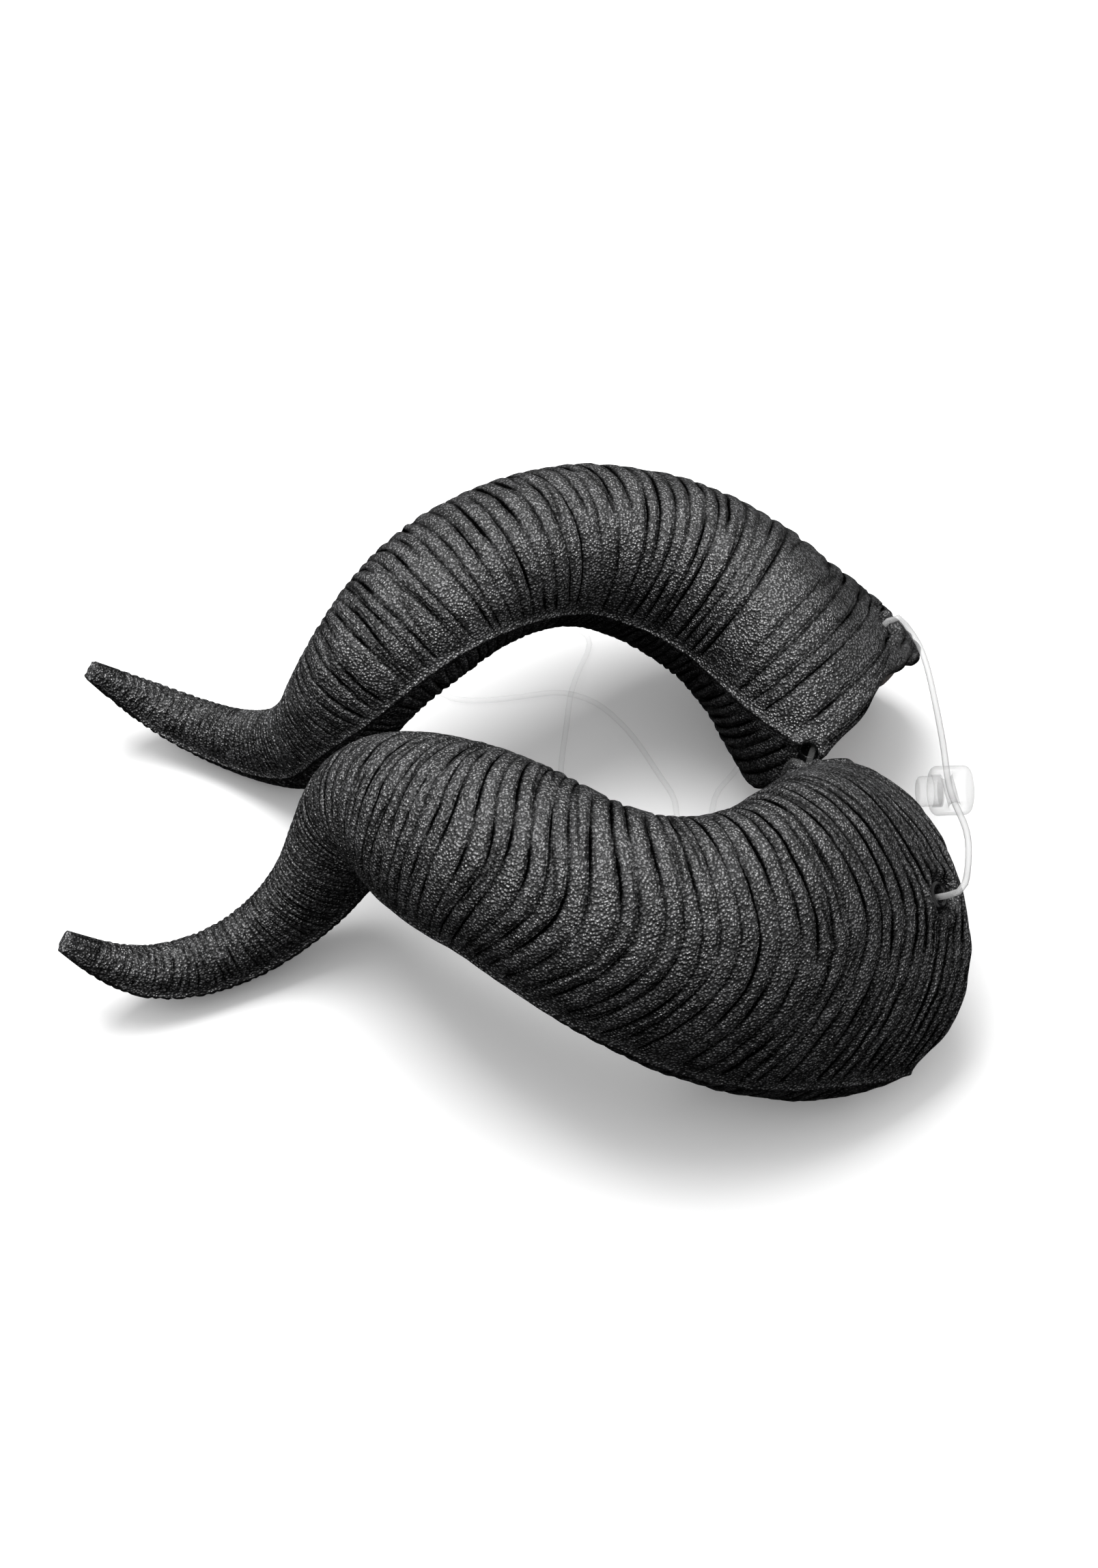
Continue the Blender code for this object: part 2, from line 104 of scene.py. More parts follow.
# How far a groove's line leans towards the base in mm, every 30 degrees about the centreline
LEAN = {
    "near": [-6.0, -1.0, 0.0, -5.0, -12.0, -16.0, -16.0, -14.0, -12.0, -12.0, -14.0, -12.0],
    "far": [0.0, 0.0, 0.0, 0.0, 0.0, 0.0, 0.0, 0.0, 0.0, 0.0, 0.0, 0.0],
}

# Rim of the base: share along the horn at every 30 degrees about the centreline. Each is cut by hand.
RIM = {
    "near": [0.998, 1.003, 1.002, 1.005, 1.002, 1.003, 0.990, 0.992, 0.998, 1.000, 0.985, 0.976],
    "far":  [1.009, 1.004, 0.992, 0.982, 0.993, 1.004, 1.005, 1.000, 0.998, 0.998, 1.010, 1.024],
}

# Eyelets, in pits by the rim: share along, degrees about the centreline
EYELETS = {
    "near_brow": (0.966, 57.0), "near_chin": (0.956, 143.0),
    "far_brow": (0.955, 40.0), "far_chin": (0.986, 138.0),
}

# Cords: chosen route points in mm, from the far horn's eyelet to the near one's
BROW_ROUTE = [
    (121.5, 58.7, 53.4), (126.6, 61.0, 57.1), (131.0, 60.4, 52.8), (134.6, 57.0, 48.9),
    (136.9, 49.5, 46.7), (138.0, 39.0, 45.9), (138.7, 25.0, 46.0), (138.8, 11.0, 46.8),
    (138.5, -5.0, 49.4), (140.2, -17.0, 51.7), (140.9, -26.0, 53.6), (139.9, -35.0, 55.4),
    (138.2, -43.0, 58.0), (136.4, -49.0, 61.6), (133.9, -52.3, 61.4), (128.1, -50.7, 56.4),
]
CHIN_ROUTE = [
    (96.2, 5.9, 58.2), (94.5, 1.3, 60.5), (93.0, -3.4, 58.8), (92.2, -4.3, 52.8), (91.9, -2.3, 45.6),
    (91.4, 0.4, 36.0), (90.6, 3.0, 25.0), (89.2, 8.5, 14.0), (87.8, 17.5, 5.4), (87.0, 25.5, 1.6),
    (87.2, 32.0, 1.2), (87.8, 38.6, 1.2), (84.9, 44.0, 1.2), (78.8, 43.2, 1.2), (75.0, 38.4, 1.2),
    (71.4, 33.8, 1.2), (68.8, 28.2, 1.2), (67.4, 21.8, 1.2), (63.6, 15.9, 1.2), (57.6, 16.3, 1.2),
    (55.8, 22.4, 1.2), (55.2, 28.8, 1.2), (52.6, 34.8, 1.2), (49.3, 41.3, 1.2), (43.3, 53.3, 1.2),
    (37.3, 62.4, 1.2), (29.0, 71.0, 1.2), (18.3, 75.5, 1.2), (8.7, 74.9, 1.2), (-4.2, 72.7, 1.2),
    (-16.2, 72.1, 1.2), (-25.0, 75.4, 1.2), (-29.0, 85.0, 1.2), (-22.0, 95.0, 1.2), (-7.0, 102.0, 1.2),
    (10.0, 106.5, 1.2), (22.0, 106.0, 1.2), (27.3, 100.0, 1.2), (25.2, 90.5, 1.6), (22.4, 81.5, 2.9),
    (20.2, 72.0, 3.1), (19.0, 62.0, 1.4), (17.6, 50.0, 1.2), (16.8, 38.0, 1.2), (17.5, 22.0, 1.2),
    (22.0, 6.0, 1.2), (34.0, -6.0, 1.2), (50.0, -9.0, 1.2), (64.0, -7.0, 2.0), (75.0, -4.0, 9.0),
    (82.0, -2.0, 24.0), (85.4, -0.8, 42.0), (87.0, -1.0, 56.0), (89.8, -4.6, 63.4), (94.5, -11.8, 62.6),
]
LOCK_POINT = 8         # point of the brow cord's route at which the lock sits

# Mesh of a horn
ROWS = 600             # along the horn
UPPER_COLUMNS = 82     # from the outer seam over the top to the inner seam
LOWER_COLUMNS = 58     # from the inner seam under the bottom to the outer seam
SLANT_FROM = 0.75      # from here on the rows turn towards the rim's slant
SEAM_STEPS = np.array([0.0, 0.0035, 0.008, 0.016, 0.028])   # first columns beside a seam, as shares
FAR_SHIFT = (-0.0067, -0.0005)         # how far the far horn lies from the near one's mirror place
FAR_TURN = math.radians(-1.4)          # and how far it is turned from it
STATIONS = np.linspace(0.0, 1.0, 65)   # places across a mould half at which a groove's line is set
SEEDS = {"near": 11, "far": 51}        # of the grooves' draws
TIP_SEEDS = {"near": 3, "far": 4}      # of the rough cut tips
TIP_SHARES = (0.25, 0.5, 0.72, 0.88, 0.97)   # rings of a cut tip, shares of the way out

# Relief, in metres
CUT, LIP, BELL = 0.50, 0.12, 0.30      # shares of a groove's depth in its line, its lip and its bell
BELL_WIDE = 0.28                       # half width of the bell, as a share of the pitch
SEAM_CLEAR = (0.0012, 0.0034)          # the grooves start and reach their depth this far from a seam
SEAM_FADE = (0.03, 0.10)               # the seam's flash starts between these shares along the horn
FLASH_HALF, SHINE_HALF = 0.0007, 0.0006      # half widths of the flash and of the painted highlight along it
LUMPS = ((5, 0.00020, 0.018), (7, 0.00007, 0.007))   # seed, size and spread of the uneven skin
LUMP_RADIUS = 0.035                    # turns degrees about the centreline into metres for the lumps
SWELL = (0.0036, 12.0, 22.0)           # by the far rim: height, middle and half spread in degrees
SWELL_FADE = (0.86, 0.95)
PIT_WIDE = {"brow": 0.0056, "chin": 0.0026}      # radius of the pit round an eyelet
FAR_DENT = ((0.957, 54.0), 0.0036)     # a second dent beside the far brow eyelet, painted dark like a pit: place, radius
PIT_DEEP, PIT_EASE = 0.0034, 0.0013
PIT_LIP, LIP_OUT, LIP_HALF = 0.0007, 0.0028, 0.0014    # height, distance and half width of its lip

# Barrel under an eyelet's rolled rim: radius outside and inside, and depths of barrel and throat
BARREL, THROAT, BARREL_DEEP, THROAT_DEEP = 0.0032, 0.0015, 0.0050, 0.0026
DOME = 0.28                            # rounding of the lock's button, as a share of its radius
CREASE = math.radians(50.0)            # sharper edges than this stay sharp in the shading

# Painted light across a groove, at shares of the 5 mm about its line: a painted highlight on the tip
# side's lip, painted shade in the dark line, and the rise to the next rib
GROOVE_SHADE_AND_LIP_HIGHLIGHT = ((0.22, 0.50), (0.33, 0.62), (0.395, 0.95), (0.45, 0.10), (0.50, 0.0), (0.55, 0.06),
              (0.62, 0.40), (0.72, 0.52))

# Stage: place of the camera; name, place, side and setting of each square light
CAMERA_PLACE = (0.01278, -0.43648, 0.609)
LIGHTS = (("top_light", (-0.15, -0.20, 1.4), 1.6, "top_power"),
          ("key_light", (-0.25, 0.32, 1.4), 0.75, "key_power"))


class HornSizes(bpy.types.PropertyGroup):
    """Sizes and colours of the foam horns."""
    run: length("Run", "Tip to base along X", 0.246)
    bow: length("Bow", "How far the middle bows out", 0.075)
    crest: length("Crest", "Height of the centreline's crest", 0.0845)
    half_wide: length("Half width", "Largest half width, across the parting", 0.050)
    half_deep: length("Half depth", "Largest half depth", 0.035)
    seam_corner: length("Seam corner", "How far a seam's corner stands out", 0.0045)
    corner_spread: FloatProperty(name="Corner spread", description="Degrees over which it fades",
                                 default=20.0)
    inner_gap: length("Inner gap", "Near horn to the mirror plane", 0.00265)
    edge: length("Edge", "Rounding of the rim", 0.003)
    dish_depth: length("Dish depth", "Depth of the base's dish", 0.009)
    dish_flat: length("Dish flat", "Radius of the dish's flat middle", 0.013)
    groove_depth: length("Groove depth", "Depth of the deepest groove", 0.0011)
    groove_half: length("Groove half width", "Half width of the widest groove", 0.00075)
    seam_height: length("Seam height", "Height of the mould seam's flash", 0.0008)
    skin_colour: colour("Skin", "Moulded skin", "#252526")
    worn_colour: colour("Worn skin", "Skin on the ribs' crests", "#464648")
    cut_colour: colour("Cut foam", "Foam of the base's face", "#A39A96")


class EyeletSizes(bpy.types.PropertyGroup):
    """Sizes and colour of the black metal eyelets."""
    radius: length("Radius", "Outer radius of the rolled rim", 0.0045)
    bore: length("Bore", "Radius of the hole", 0.0023)
    rim: length("Rim", "Thickness of the rolled rim", 0.0012)
    sunk: length("Sunk", "Depth of the rim's face under the skin", 0.0012)
    colour: colour("Enamel", "Black enamel", "#0D0D0E")


class CordSizes(bpy.types.PropertyGroup):
    """Sizes and colour of the clear elastic cords and their lock."""
    diameter: length("Diameter", "Of the elastic", 0.0020)
    step: length("Step", "Between a cord's points", 0.0040)
    low: length("Lowest", "Lowest height of a cord's middle", 0.0011)
    lock_radius: length("Lock radius", "Of the lock's body", 0.0078)
    lock_long: length("Lock length", "Of the lock's body", 0.0125)
    lock_rounding: length("Lock rounding", "Of its edges", 0.0022)
    lock_bore: length("Lock bore", "Radius of its cross bore", 0.0019)
    button_radius: length("Button radius", "Of the lock's button", 0.0048)
    button_out: length("Button out", "Its length outside the body", 0.0042)
    button_in: length("Button in", "Its length inside the body", 0.0030)
    button_gap: length("Button gap", "Between button and body", 0.0003)
    colour: colour("Clear", "Clear soft plastic", "#CFCFCF")


class StageSettings(bpy.types.PropertyGroup):
    """Camera, floor and lights."""
    lens: FloatProperty(name="Lens", description="Focal length in mm", default=51.8)
    pitch: FloatProperty(name="Pitch", description="Downward look of the camera in degrees",
                         default=52.2)
    floor_size: length("Floor", "Side of the floor", 30.0)
    floor_colour: colour("Floor", "White paper", "#F7F7F7")
    top_power: FloatProperty(name="Top light", description="Watts of the wide soft light", default=9.0)
    key_power: FloatProperty(name="Key light", description="Watts of the smaller light", default=17.0)
    front_glow: FloatProperty(name="Front glow", description="Strength of the room in front", default=0.07)
    back_glow: FloatProperty(name="Back glow", description="Strength of the room behind", default=0.57)


# Shape helpers

def natural_spline(values, at):
    """Natural cubic spline through values at equal steps from 0 to 1, read at the shares in at."""
    values = np.asarray(values, float)
    last = len(values) - 1
    system = np.eye(last + 1)
    right = np.zeros(values.shape)
    for row in range(1, last):
        system[row, row - 1:row + 2] = (1.0, 4.0, 1.0)
        right[row] = 6.0 * (values[row - 1] - 2.0 * values[row] + values[row + 1])
    bends = np.linalg.solve(system, right)
    place = np.clip(np.asarray(at, float), 0.0, 1.0) * last
    step = np.minimum(place.astype(int), last - 1)
    along = place - step
    if values.ndim > 1:
        along = along[:, None]
    back = 1.0 - along
    return (back * values[step] + along * values[step + 1]
            + ((back ** 3 - back) * bends[step] + (along ** 3 - along) * bends[step + 1]) / 6.0)


def column(name, at):
    """One column of SECTIONS, read smoothly at the shares in at."""
    return natural_spline(SECTIONS[name], at)


def along_table(values, at):
    """A table in equal steps along the horn, read in straight lines at the shares in at."""
    return np.interp(at, np.linspace(0.0, 1.0, len(values)), values)


def round_table(values, angles):
    """A table of values every 30 degrees, eased by half a cosine wave between them."""
    values = np.array(values)
    place = np.asarray(angles, float) % 360.0 / 360.0 * len(values)
    before = place.astype(int) % len(values)
    ease = 0.5 - 0.5 * np.cos(np.pi * (place - np.floor(place)))
    return values[before] + ease * (values[(before + 1) % len(values)] - values[before])


def smooth_table(values, angles):
    """A table of values every 30 degrees, read by a smooth spline that runs on past its ends."""
    count = len(values)
    place = (np.asarray(angles, float) % 360.0 / 360.0 * count + 3.0) / (count + 6.0)
    longer = np.array(values[-3:] + values + values[:4])
    return natural_spline(longer, place.ravel()).reshape(place.shape)


def ease_step(low, high, x):
    """0 below low, 1 above high and the smooth cubic 3t^2 - 2t^3 between."""
    t = np.clip((x - low) / (high - low), 0.0, 1.0)
    return t * t * (3.0 - 2.0 * t)


def centreline(sizes, at):
    """Centre points: the spline through the rows of SECTIONS, run straight on past the base."""
    rows = np.stack([(np.array(SECTIONS["run"]) - 0.5) * sizes.run,
                     -np.array(SECTIONS["bow"]) * sizes.bow,
                     np.array(SECTIONS["rise"]) * sizes.crest], 1)
    step = 0.01
    ends = natural_spline(rows, np.array([1.0 - step, 1.0]))
    past = np.maximum(at - 1.0, 0.0) / step
    return natural_spline(rows, at) + past[:, None] * (ends[1] - ends[0])


def section_frames(sizes, at):
    """Unit vectors outwards and upwards of the centreline, square to it."""
    step = 0.004
    along = centreline(sizes, at + step) - centreline(sizes, np.maximum(at - step, 0.0))
    along /= np.linalg.norm(along, axis=1)[:, None]
    upwards = np.array([0.0, 0.0, 1.0]) - along[:, 2:] * along
    upwards /= np.linalg.norm(upwards, axis=1)[:, None]
    return np.cross(along, upwards), upwards


def skin(sizes, at, angle, raised=0.0):
    """Points of the near horn's skin, raised above its plain shape.

    A section is a rolled oval whose reach at an angle a is 1 / sqrt((cos a / wide)^2 +
    (sin a / deep)^2), plus a corner at each mould seam that fades with the exponential of the
    degrees from it.
    """
    at, angle, raised = np.broadcast_arrays(np.asarray(at, float), np.asarray(angle, float), raised)
    shape = at.shape
    at, angle = at.ravel(), angle.ravel()
    outwards, upwards = section_frames(sizes, at)
    wide = column("wide", at) * sizes.half_wide
    deep = column("deep", at) * sizes.half_deep
    turn = np.radians(angle - column("roll", at))
    reach = 1.0 / np.sqrt((np.cos(turn) / wide) ** 2 + (np.sin(turn) / deep) ** 2) + raised.ravel()
    for seam, ridge in (("seam_in", "ridge_in"), ("seam_out", "ridge_out")):
        off = (angle - column(seam, at) + 180.0) % 360.0 - 180.0
        reach = reach + (column(ridge, at) * sizes.seam_corner
                         * np.exp(-np.abs(off) / sizes.corner_spread))
    around = np.radians(angle)
    points = (centreline(sizes, at) + (reach * np.cos(around))[:, None] * outwards
              + (reach * np.sin(around))[:, None] * upwards)
    return points.reshape(shape + (3,))


def length_table(sizes):
    """Shares along the horn and the centreline's length up to each, a little past the base."""
    shares = np.linspace(0.0, 1.12, 900)
    steps = np.linalg.norm(np.diff(centreline(sizes, shares), axis=0), axis=1)
    return shares, np.concatenate([[0.0], np.cumsum(steps)])


def resting_place(sizes):
    """Slope and height that set the horn on the floor, and its step from the mirror plane.

    They come from the plain skin at the CAD's own rows: the lowest points of the tip half and of the
    base half both touch the floor.
    """
    angles = np.arange(20) * 18.0
    long = np.linalg.norm(np.diff(centreline(sizes, np.linspace(0.0, 1.0, 200)), axis=0), axis=1).sum()
    turns = np.radians([0.0, 45.0, 90.0])
    ends = 1.0 - sizes.edge * (1.0 - np.sin(turns)) / long
    share = np.concatenate([np.linspace(0.0, 0.22, 9), np.linspace(0.23, 0.94, 105), ends])[:, None]
    raised = np.zeros(share.shape)
    raised[-3:, 0] = -sizes.edge * (1.0 - np.cos(turns))
    slant = np.clip((share - SLANT_FROM) / (1.0 - SLANT_FROM), 0.0, 1.0) ** 2
    share = share + (round_table(RIM["near"], angles) - 1.0)[None, :] * slant
    rows = skin(sizes, np.maximum(share, 0.0), angles[None, :], raised)
    half = len(rows) // 2
    tip_half, base_half = rows[:half].reshape(-1, 3), rows[half:].reshape(-1, 3)
    tip_low = tip_half[tip_half[:, 2].argmin()]
    base_low = base_half[base_half[:, 2].argmin()]
    slope = (base_low[2] - tip_low[2]) / (base_low[0] - tip_low[0])
    return tip_low[2] - slope * tip_low[0], slope, rows[..., 1].max() + sizes.inner_gap


def placed(points, side, rest, origin):
    """Points of the near horn's own frame, set down on the floor as the near or the far horn."""
    points = np.array(points, float)
    points[..., 2] -= rest[0] + rest[1] * points[..., 0]
    points[..., 1] -= rest[2]
    if side == "far":
        cos, sin = math.cos(FAR_TURN), math.sin(FAR_TURN)
        x, y = points[..., 0].copy(), -points[..., 1]
        points[..., 0] = cos * x - sin * y + FAR_SHIFT[0]
        points[..., 1] = sin * x + cos * y + FAR_SHIFT[1]
    points[..., :2] -= origin
    return points


def seat(sizes, place, side, rest, origin, sunk=0.0):
    """Matrix at a place on a horn's plain skin, its Z along the outward normal, sunk below it."""
    share, angle = place
    near_by = skin(sizes, np.array([share, share + 0.01, share]), np.array([angle, angle, angle + 2.0]))
    point, along, around = placed(near_by, side, rest, origin)
    middle = placed(centreline(sizes, np.array([share])), side, rest, origin)[0]
    normal = np.cross(along - point, around - point)
    normal /= np.linalg.norm(normal)
    if normal @ (point - middle) < 0.0:
        normal = -normal
    turn = Vector(normal).to_track_quat("Z", "X").to_matrix().to_4x4()
    return Matrix.Translation(Vector(point - sunk * normal)) @ turn


# Relief of the skin

def across_share(at, angle):
    """Which mould half a point is on and how far across it, from 0 at one seam to 1 at the other."""
    seam_out, seam_in = column("seam_out", at), column("seam_in", at)
    upper_span = (seam_in - seam_out) % 360.0
    from_out = (angle - seam_out) % 360.0
    upper = from_out <= upper_span
    across = np.where(upper, from_out / upper_span, (from_out - upper_span) / (360.0 - upper_span))
    return upper, np.clip(across, 0.0, 1.0)


def wander(dice, count, waves, size):
    """Lines of summed sine waves across a mould half: size times sin(pi w x + phase) for each w."""
    lines = np.zeros((count, len(STATIONS)))
    for wave in waves:
        phase = dice.uniform(0.0, 2.0 * math.pi, (count, 1))
        height = dice.uniform(0.4, 1.0, (count, 1)) / math.sqrt(len(waves))
        lines += height * np.sin(math.pi * wave * STATIONS[None, :] + phase)
    return size * lines


def groove_lines(sizes, side, seed, long):
    """Grooves of one mould half: line along the horn, depth and half width, for each, at STATIONS.

    The main grooves follow each other at the local pitch, a little uneven, and their lines wander
    together and each by itself. On each rib between them lies a thinner line that shows only for a
    part of the way, and there it starts in one groove and eases over to the middle of the rib.
    """
    dice = np.random.default_rng(seed)
    pitches = GROOVES[side + "_pitch"]
    starts = [0.010]
    while starts[-1] < 1.10 * long:
        pitch = along_table(pitches, starts[-1] / long) / 1000.0
        starts.append(starts[-1] + pitch * dice.uniform(0.80, 1.20))
    starts = np.array(starts)
    pitch = along_table(pitches, starts / long)[:, None] / 1000.0
    count = len(starts)
    shared = wander(dice, count, (1, 2, 3), 1.0)
    shared = np.stack([np.convolve(row, np.ones(9) / 9.0, "same") for row in shared.T], 1)
    own = wander(dice, count, (2, 3, 4), 0.10) + wander(dice, count, (9, 14, 21, 30), 0.018)
    lines = np.maximum.accumulate(starts[:, None] + pitch * (0.7 * shared + own), axis=0)
    full = along_table(GROOVES["depth"], starts / long)[:, None] * sizes.groove_depth
    deep = full * np.clip(0.80 + wander(dice, count, (2, 3, 4, 7, 11), 0.45), 0.20, 1.15)
    first = dice.uniform(-0.12, 0.02, (count, 1))
    last = dice.uniform(0.99, 1.12, (count, 1))
    short = dice.random((count, 1)) < 0.15
    last = np.where(short, dice.uniform(0.50, 0.85, (count, 1)), last)
    deep = deep * ease_step(first, first + 0.06, STATIONS) * ease_step(-last, 0.08 - last, -STATIONS)
    half = along_table(GROOVES["width"], starts / long)[:, None] * sizes.groove_half
    half = half * dice.uniform(0.7, 1.2, (count, 1)) * np.ones(len(STATIONS))
    begin = dice.uniform(-0.10, 0.80, (count - 1, 1))
    span = dice.uniform(0.12, 0.40, (count - 1, 1))
    share = (STATIONS[None, :] - begin) / span
    share = np.where(dice.random((count - 1, 1)) < 0.5, 1.0 - share, share)
    over = 0.12 + dice.uniform(0.25, 0.45, (count - 1, 1)) * ease_step(0.0, 0.7, share)
    over = np.where(dice.random((count - 1, 1)) < 0.5, over, 1.0 - over)
    branch = lines[:-1] + (lines[1:] - lines[:-1]) * over
    branch = branch + pitch[:-1] * wander(dice, count - 1, (5, 9, 17), 0.015)
    fading = ease_step(-0.05, 0.15, share) * ease_step(-1.0, -0.50, -share)
    shown = dice.random((count - 1, 1)) < 0.65
    order = np.argsort(np.concatenate([np.arange(count), np.arange(count - 1) + 0.5]))
    lines = np.concatenate([lines, branch])[order]
    deep = np.concatenate([deep, 0.55 * full[:-1] * fading * shown])[order]
    return np.maximum.accumulate(lines, axis=0), deep, np.concatenate([half, 0.7 * half[:-1]])[order]


def count_ribs(along, across, lines, deep):
    """For each point: grooves passed so far, a whole number on a groove's line and straight between
    lines, then the share of the full depth, then the local pitch in mm.
    """
    ribs = np.zeros(along.shape + (3,))
    for place in range(along.shape[1]):
        line = np.array([np.interp(across[0, place], STATIONS, one) for one in lines])
        line = line + 1e-6 * np.arange(len(line))     # no two lines may meet
        share = np.array([np.interp(across[0, place], STATIONS, one) for one in deep])
        ribs[:, place, 0] = np.interp(along[:, place], line, np.arange(len(line)))
        ribs[:, place, 1] = np.interp(along[:, place], line, share)
        ribs[:, place, 2] = 1000.0 * np.interp(along[:, place], line, np.gradient(line))
    return ribs


def carve(relief, along, across, inside, line, deep, half, pitch):
    """Cuts one groove: depth times exp(-|x|^1.6), x the distance from its line in half widths.

    A lip stands up a little on its tip side, and a wide shallow bell around it leaves each rib
    crowned.
    """
    reach = 1.2 * pitch + 4.0 * half.max()
    rows = np.flatnonzero((along.min(1) < line.max() + reach) & (along.max(1) > line.min() - reach))
    if len(rows) == 0 or deep.max() <= 0.0:
        return
    window = slice(rows[0], rows[-1] + 1)
    x = along[window] - np.interp(across[window], STATIONS, line)
    depth = np.interp(across[window], STATIONS, deep) * inside[window]
    width = np.interp(across[window], STATIONS, half)
    cut = CUT * np.exp(-np.abs(x / width) ** 1.6)
    lips = LIP * np.exp(-((x + 2.0 * width) / (0.9 * width)) ** 2)
    bell = BELL * np.exp(-(x / (BELL_WIDE * pitch)) ** 2)
    relief[window] -= depth * (cut - lips + bell)


def lumps(seed, along, around, size, spread):
    """Soft unevenness: size times the mean of sine waves about spread long in random directions."""
    dice = np.random.default_rng(seed)
    total = np.zeros(along.shape)
    for _ in range(14):
        way = dice.uniform(0.0, math.pi)
        turn = 2.0 * math.pi / (spread * dice.uniform(0.6, 1.6))
        total += np.sin(turn * (math.cos(way) * along + math.sin(way) * around)
                        + dice.uniform(0.0, 2.0 * math.pi))
    return size * total / math.sqrt(14.0)


def horn_relief(sizes, side, at, angle, shares, lengths):
    """Height of the skin over its plain shape, the painted shade of each point by how deep it lies, 0 to 1,
    and its ribs.

    The height is minus the grooves' cuts, plus soft lumps and plus the mould seam's flash, a bell
    curve of the distance from the seam. Along the flash the painted shade goes below 0, a painted
    highlight.
    """
    long = np.interp(1.0, shares, lengths)
    along = np.interp(at, shares, lengths)
    flat_at = np.clip(at, 0.0, 1.0)
    upper, across = across_share(flat_at.ravel(), angle.ravel())
    upper, across = upper.reshape(at.shape), across.reshape(at.shape)
    girth = 0.5 * np.pi * (column("wide", flat_at.ravel()) * sizes.half_wide
                           + column("deep", flat_at.ravel()) * sizes.half_deep).reshape(at.shape)
    from_seam = np.minimum(across, 1.0 - across) * girth
    lean = smooth_table(LEAN[side], angle) / 1000.0 * ease_step(0.40, 0.68, at)
    leaning = along - lean
    relief = np.zeros(at.shape)
    ribs = np.zeros(at.shape + (3,))
    for number, half_mask in enumerate((upper, ~upper)):
        inside = half_mask * ease_step(*SEAM_CLEAR, from_seam)
        lines, deeps, halves = groove_lines(sizes, side, SEEDS[side] + 2 * number, long)
        counted = count_ribs(leaning, across, lines, deeps / sizes.groove_depth)
        counted[..., 1] *= inside
        ribs = np.where(half_mask[..., None], counted, ribs)
        for line, deep, half in zip(lines, deeps, halves):
            pitch = along_table(GROOVES[side + "_pitch"], line.mean() / long) / 1000.0
            carve(relief, leaning, across, inside, line, deep, half, pitch)
    # Painted shade: the deeper a point lies in a groove, the darker its colour is painted
    hollow = np.clip(-relief / sizes.groove_depth, 0.0, 1.0)
    thick = girth / (0.5 * np.pi * (sizes.half_wide + sizes.half_deep))
    if side == "far":
        high, middle, spread = SWELL
        off = (angle - middle + 180.0) % 360.0 - 180.0
        relief += high * np.exp(-(off / spread) ** 2) * ease_step(*SWELL_FADE, at)
    for seed, size, spread in LUMPS:
        relief += lumps(seed, along, np.radians(angle) * LUMP_RADIUS, size, spread) * thick
    shown = ease_step(*SEAM_FADE, at)
    # Painted highlight: a bright line along the seam's flash
    hollow -= 0.9 * np.exp(-(from_seam / SHINE_HALF) ** 2) * shown
    relief += sizes.seam_height * np.exp(-(from_seam / FLASH_HALF) ** 2) * shown
    return relief, hollow, ribs


def seam_steps(count):
    """Shares across a mould half for its columns: close together at both seams and even between."""
    first = SEAM_STEPS[-1]
    middle = np.linspace(first, 1.0 - first, count - 7)[1:-1]
    return np.concatenate([SEAM_STEPS, middle, 1.0 - SEAM_STEPS[:0:-1]])


def horn_surface(sizes, side, rest, origin):
    """Rows of points of one horn from the tip to the rim, and the painted shade and the ribs of each point.

    Rows stand at equal steps of the centreline's length. Columns run at set shares of the way from
    seam to seam, closer together beside the seams, so that the seams lie on columns. A pit is flat
    within its radius and eases out to a low lip.
    """
    shares, lengths = length_table(sizes)
    long = np.interp(1.0, shares, lengths)
    turns = np.radians(np.linspace(0.0, 90.0, 9))
    rows = np.concatenate([np.linspace(0.0, long - sizes.edge, ROWS)[:-1],
                           long - sizes.edge * (1.0 - np.sin(turns))])
    share = np.interp(rows, lengths, shares)[:, None]
    seam_out, seam_in = column("seam_out", share[:, 0])[:, None], column("seam_in", share[:, 0])[:, None]
    upper_span = (seam_in - seam_out) % 360.0
    angle = np.concatenate([seam_out + upper_span * seam_steps(UPPER_COLUMNS),
                            seam_in + (360.0 - upper_span) * seam_steps(LOWER_COLUMNS)], 1)
    slant = np.clip((share - SLANT_FROM) / (1.0 - SLANT_FROM), 0.0, 1.0) ** 2
    at = share + (round_table(RIM[side], angle) - 1.0) * slant
    at = np.maximum(at, 0.0)
    relief, hollow, ribs = horn_relief(sizes, side, at, angle, shares, lengths)
    relief[-len(turns):] -= (sizes.edge * (1.0 - np.cos(turns)))[:, None]
    plain = placed(skin(sizes, at, angle), side, rest, origin)
    pits = [(place, PIT_WIDE[name.split("_")[1]])
            for name, place in EYELETS.items() if name.split("_")[0] == side]
    if side == "far":
        pits.append(FAR_DENT)
    for place, wide in pits:
        middle = np.array(seat(sizes, place, side, rest, origin).translation)
        away = np.linalg.norm(plain - middle, axis=2)
        pit = 1.0 - ease_step(wide, wide + PIT_EASE, away)
        lip = np.exp(-((away - wide - LIP_OUT) / LIP_HALF) ** 2)
        relief = relief * (1.0 - pit) - PIT_DEEP * pit + PIT_LIP * lip
        # Painted shade: a pit is painted fully dark
        hollow = np.maximum(hollow * (1.0 - pit), pit)
        ribs[..., 1] *= 1.0 - pit
    points = placed(skin(sizes, at, angle, relief), side, rest, origin)
    return points, hollow, ribs


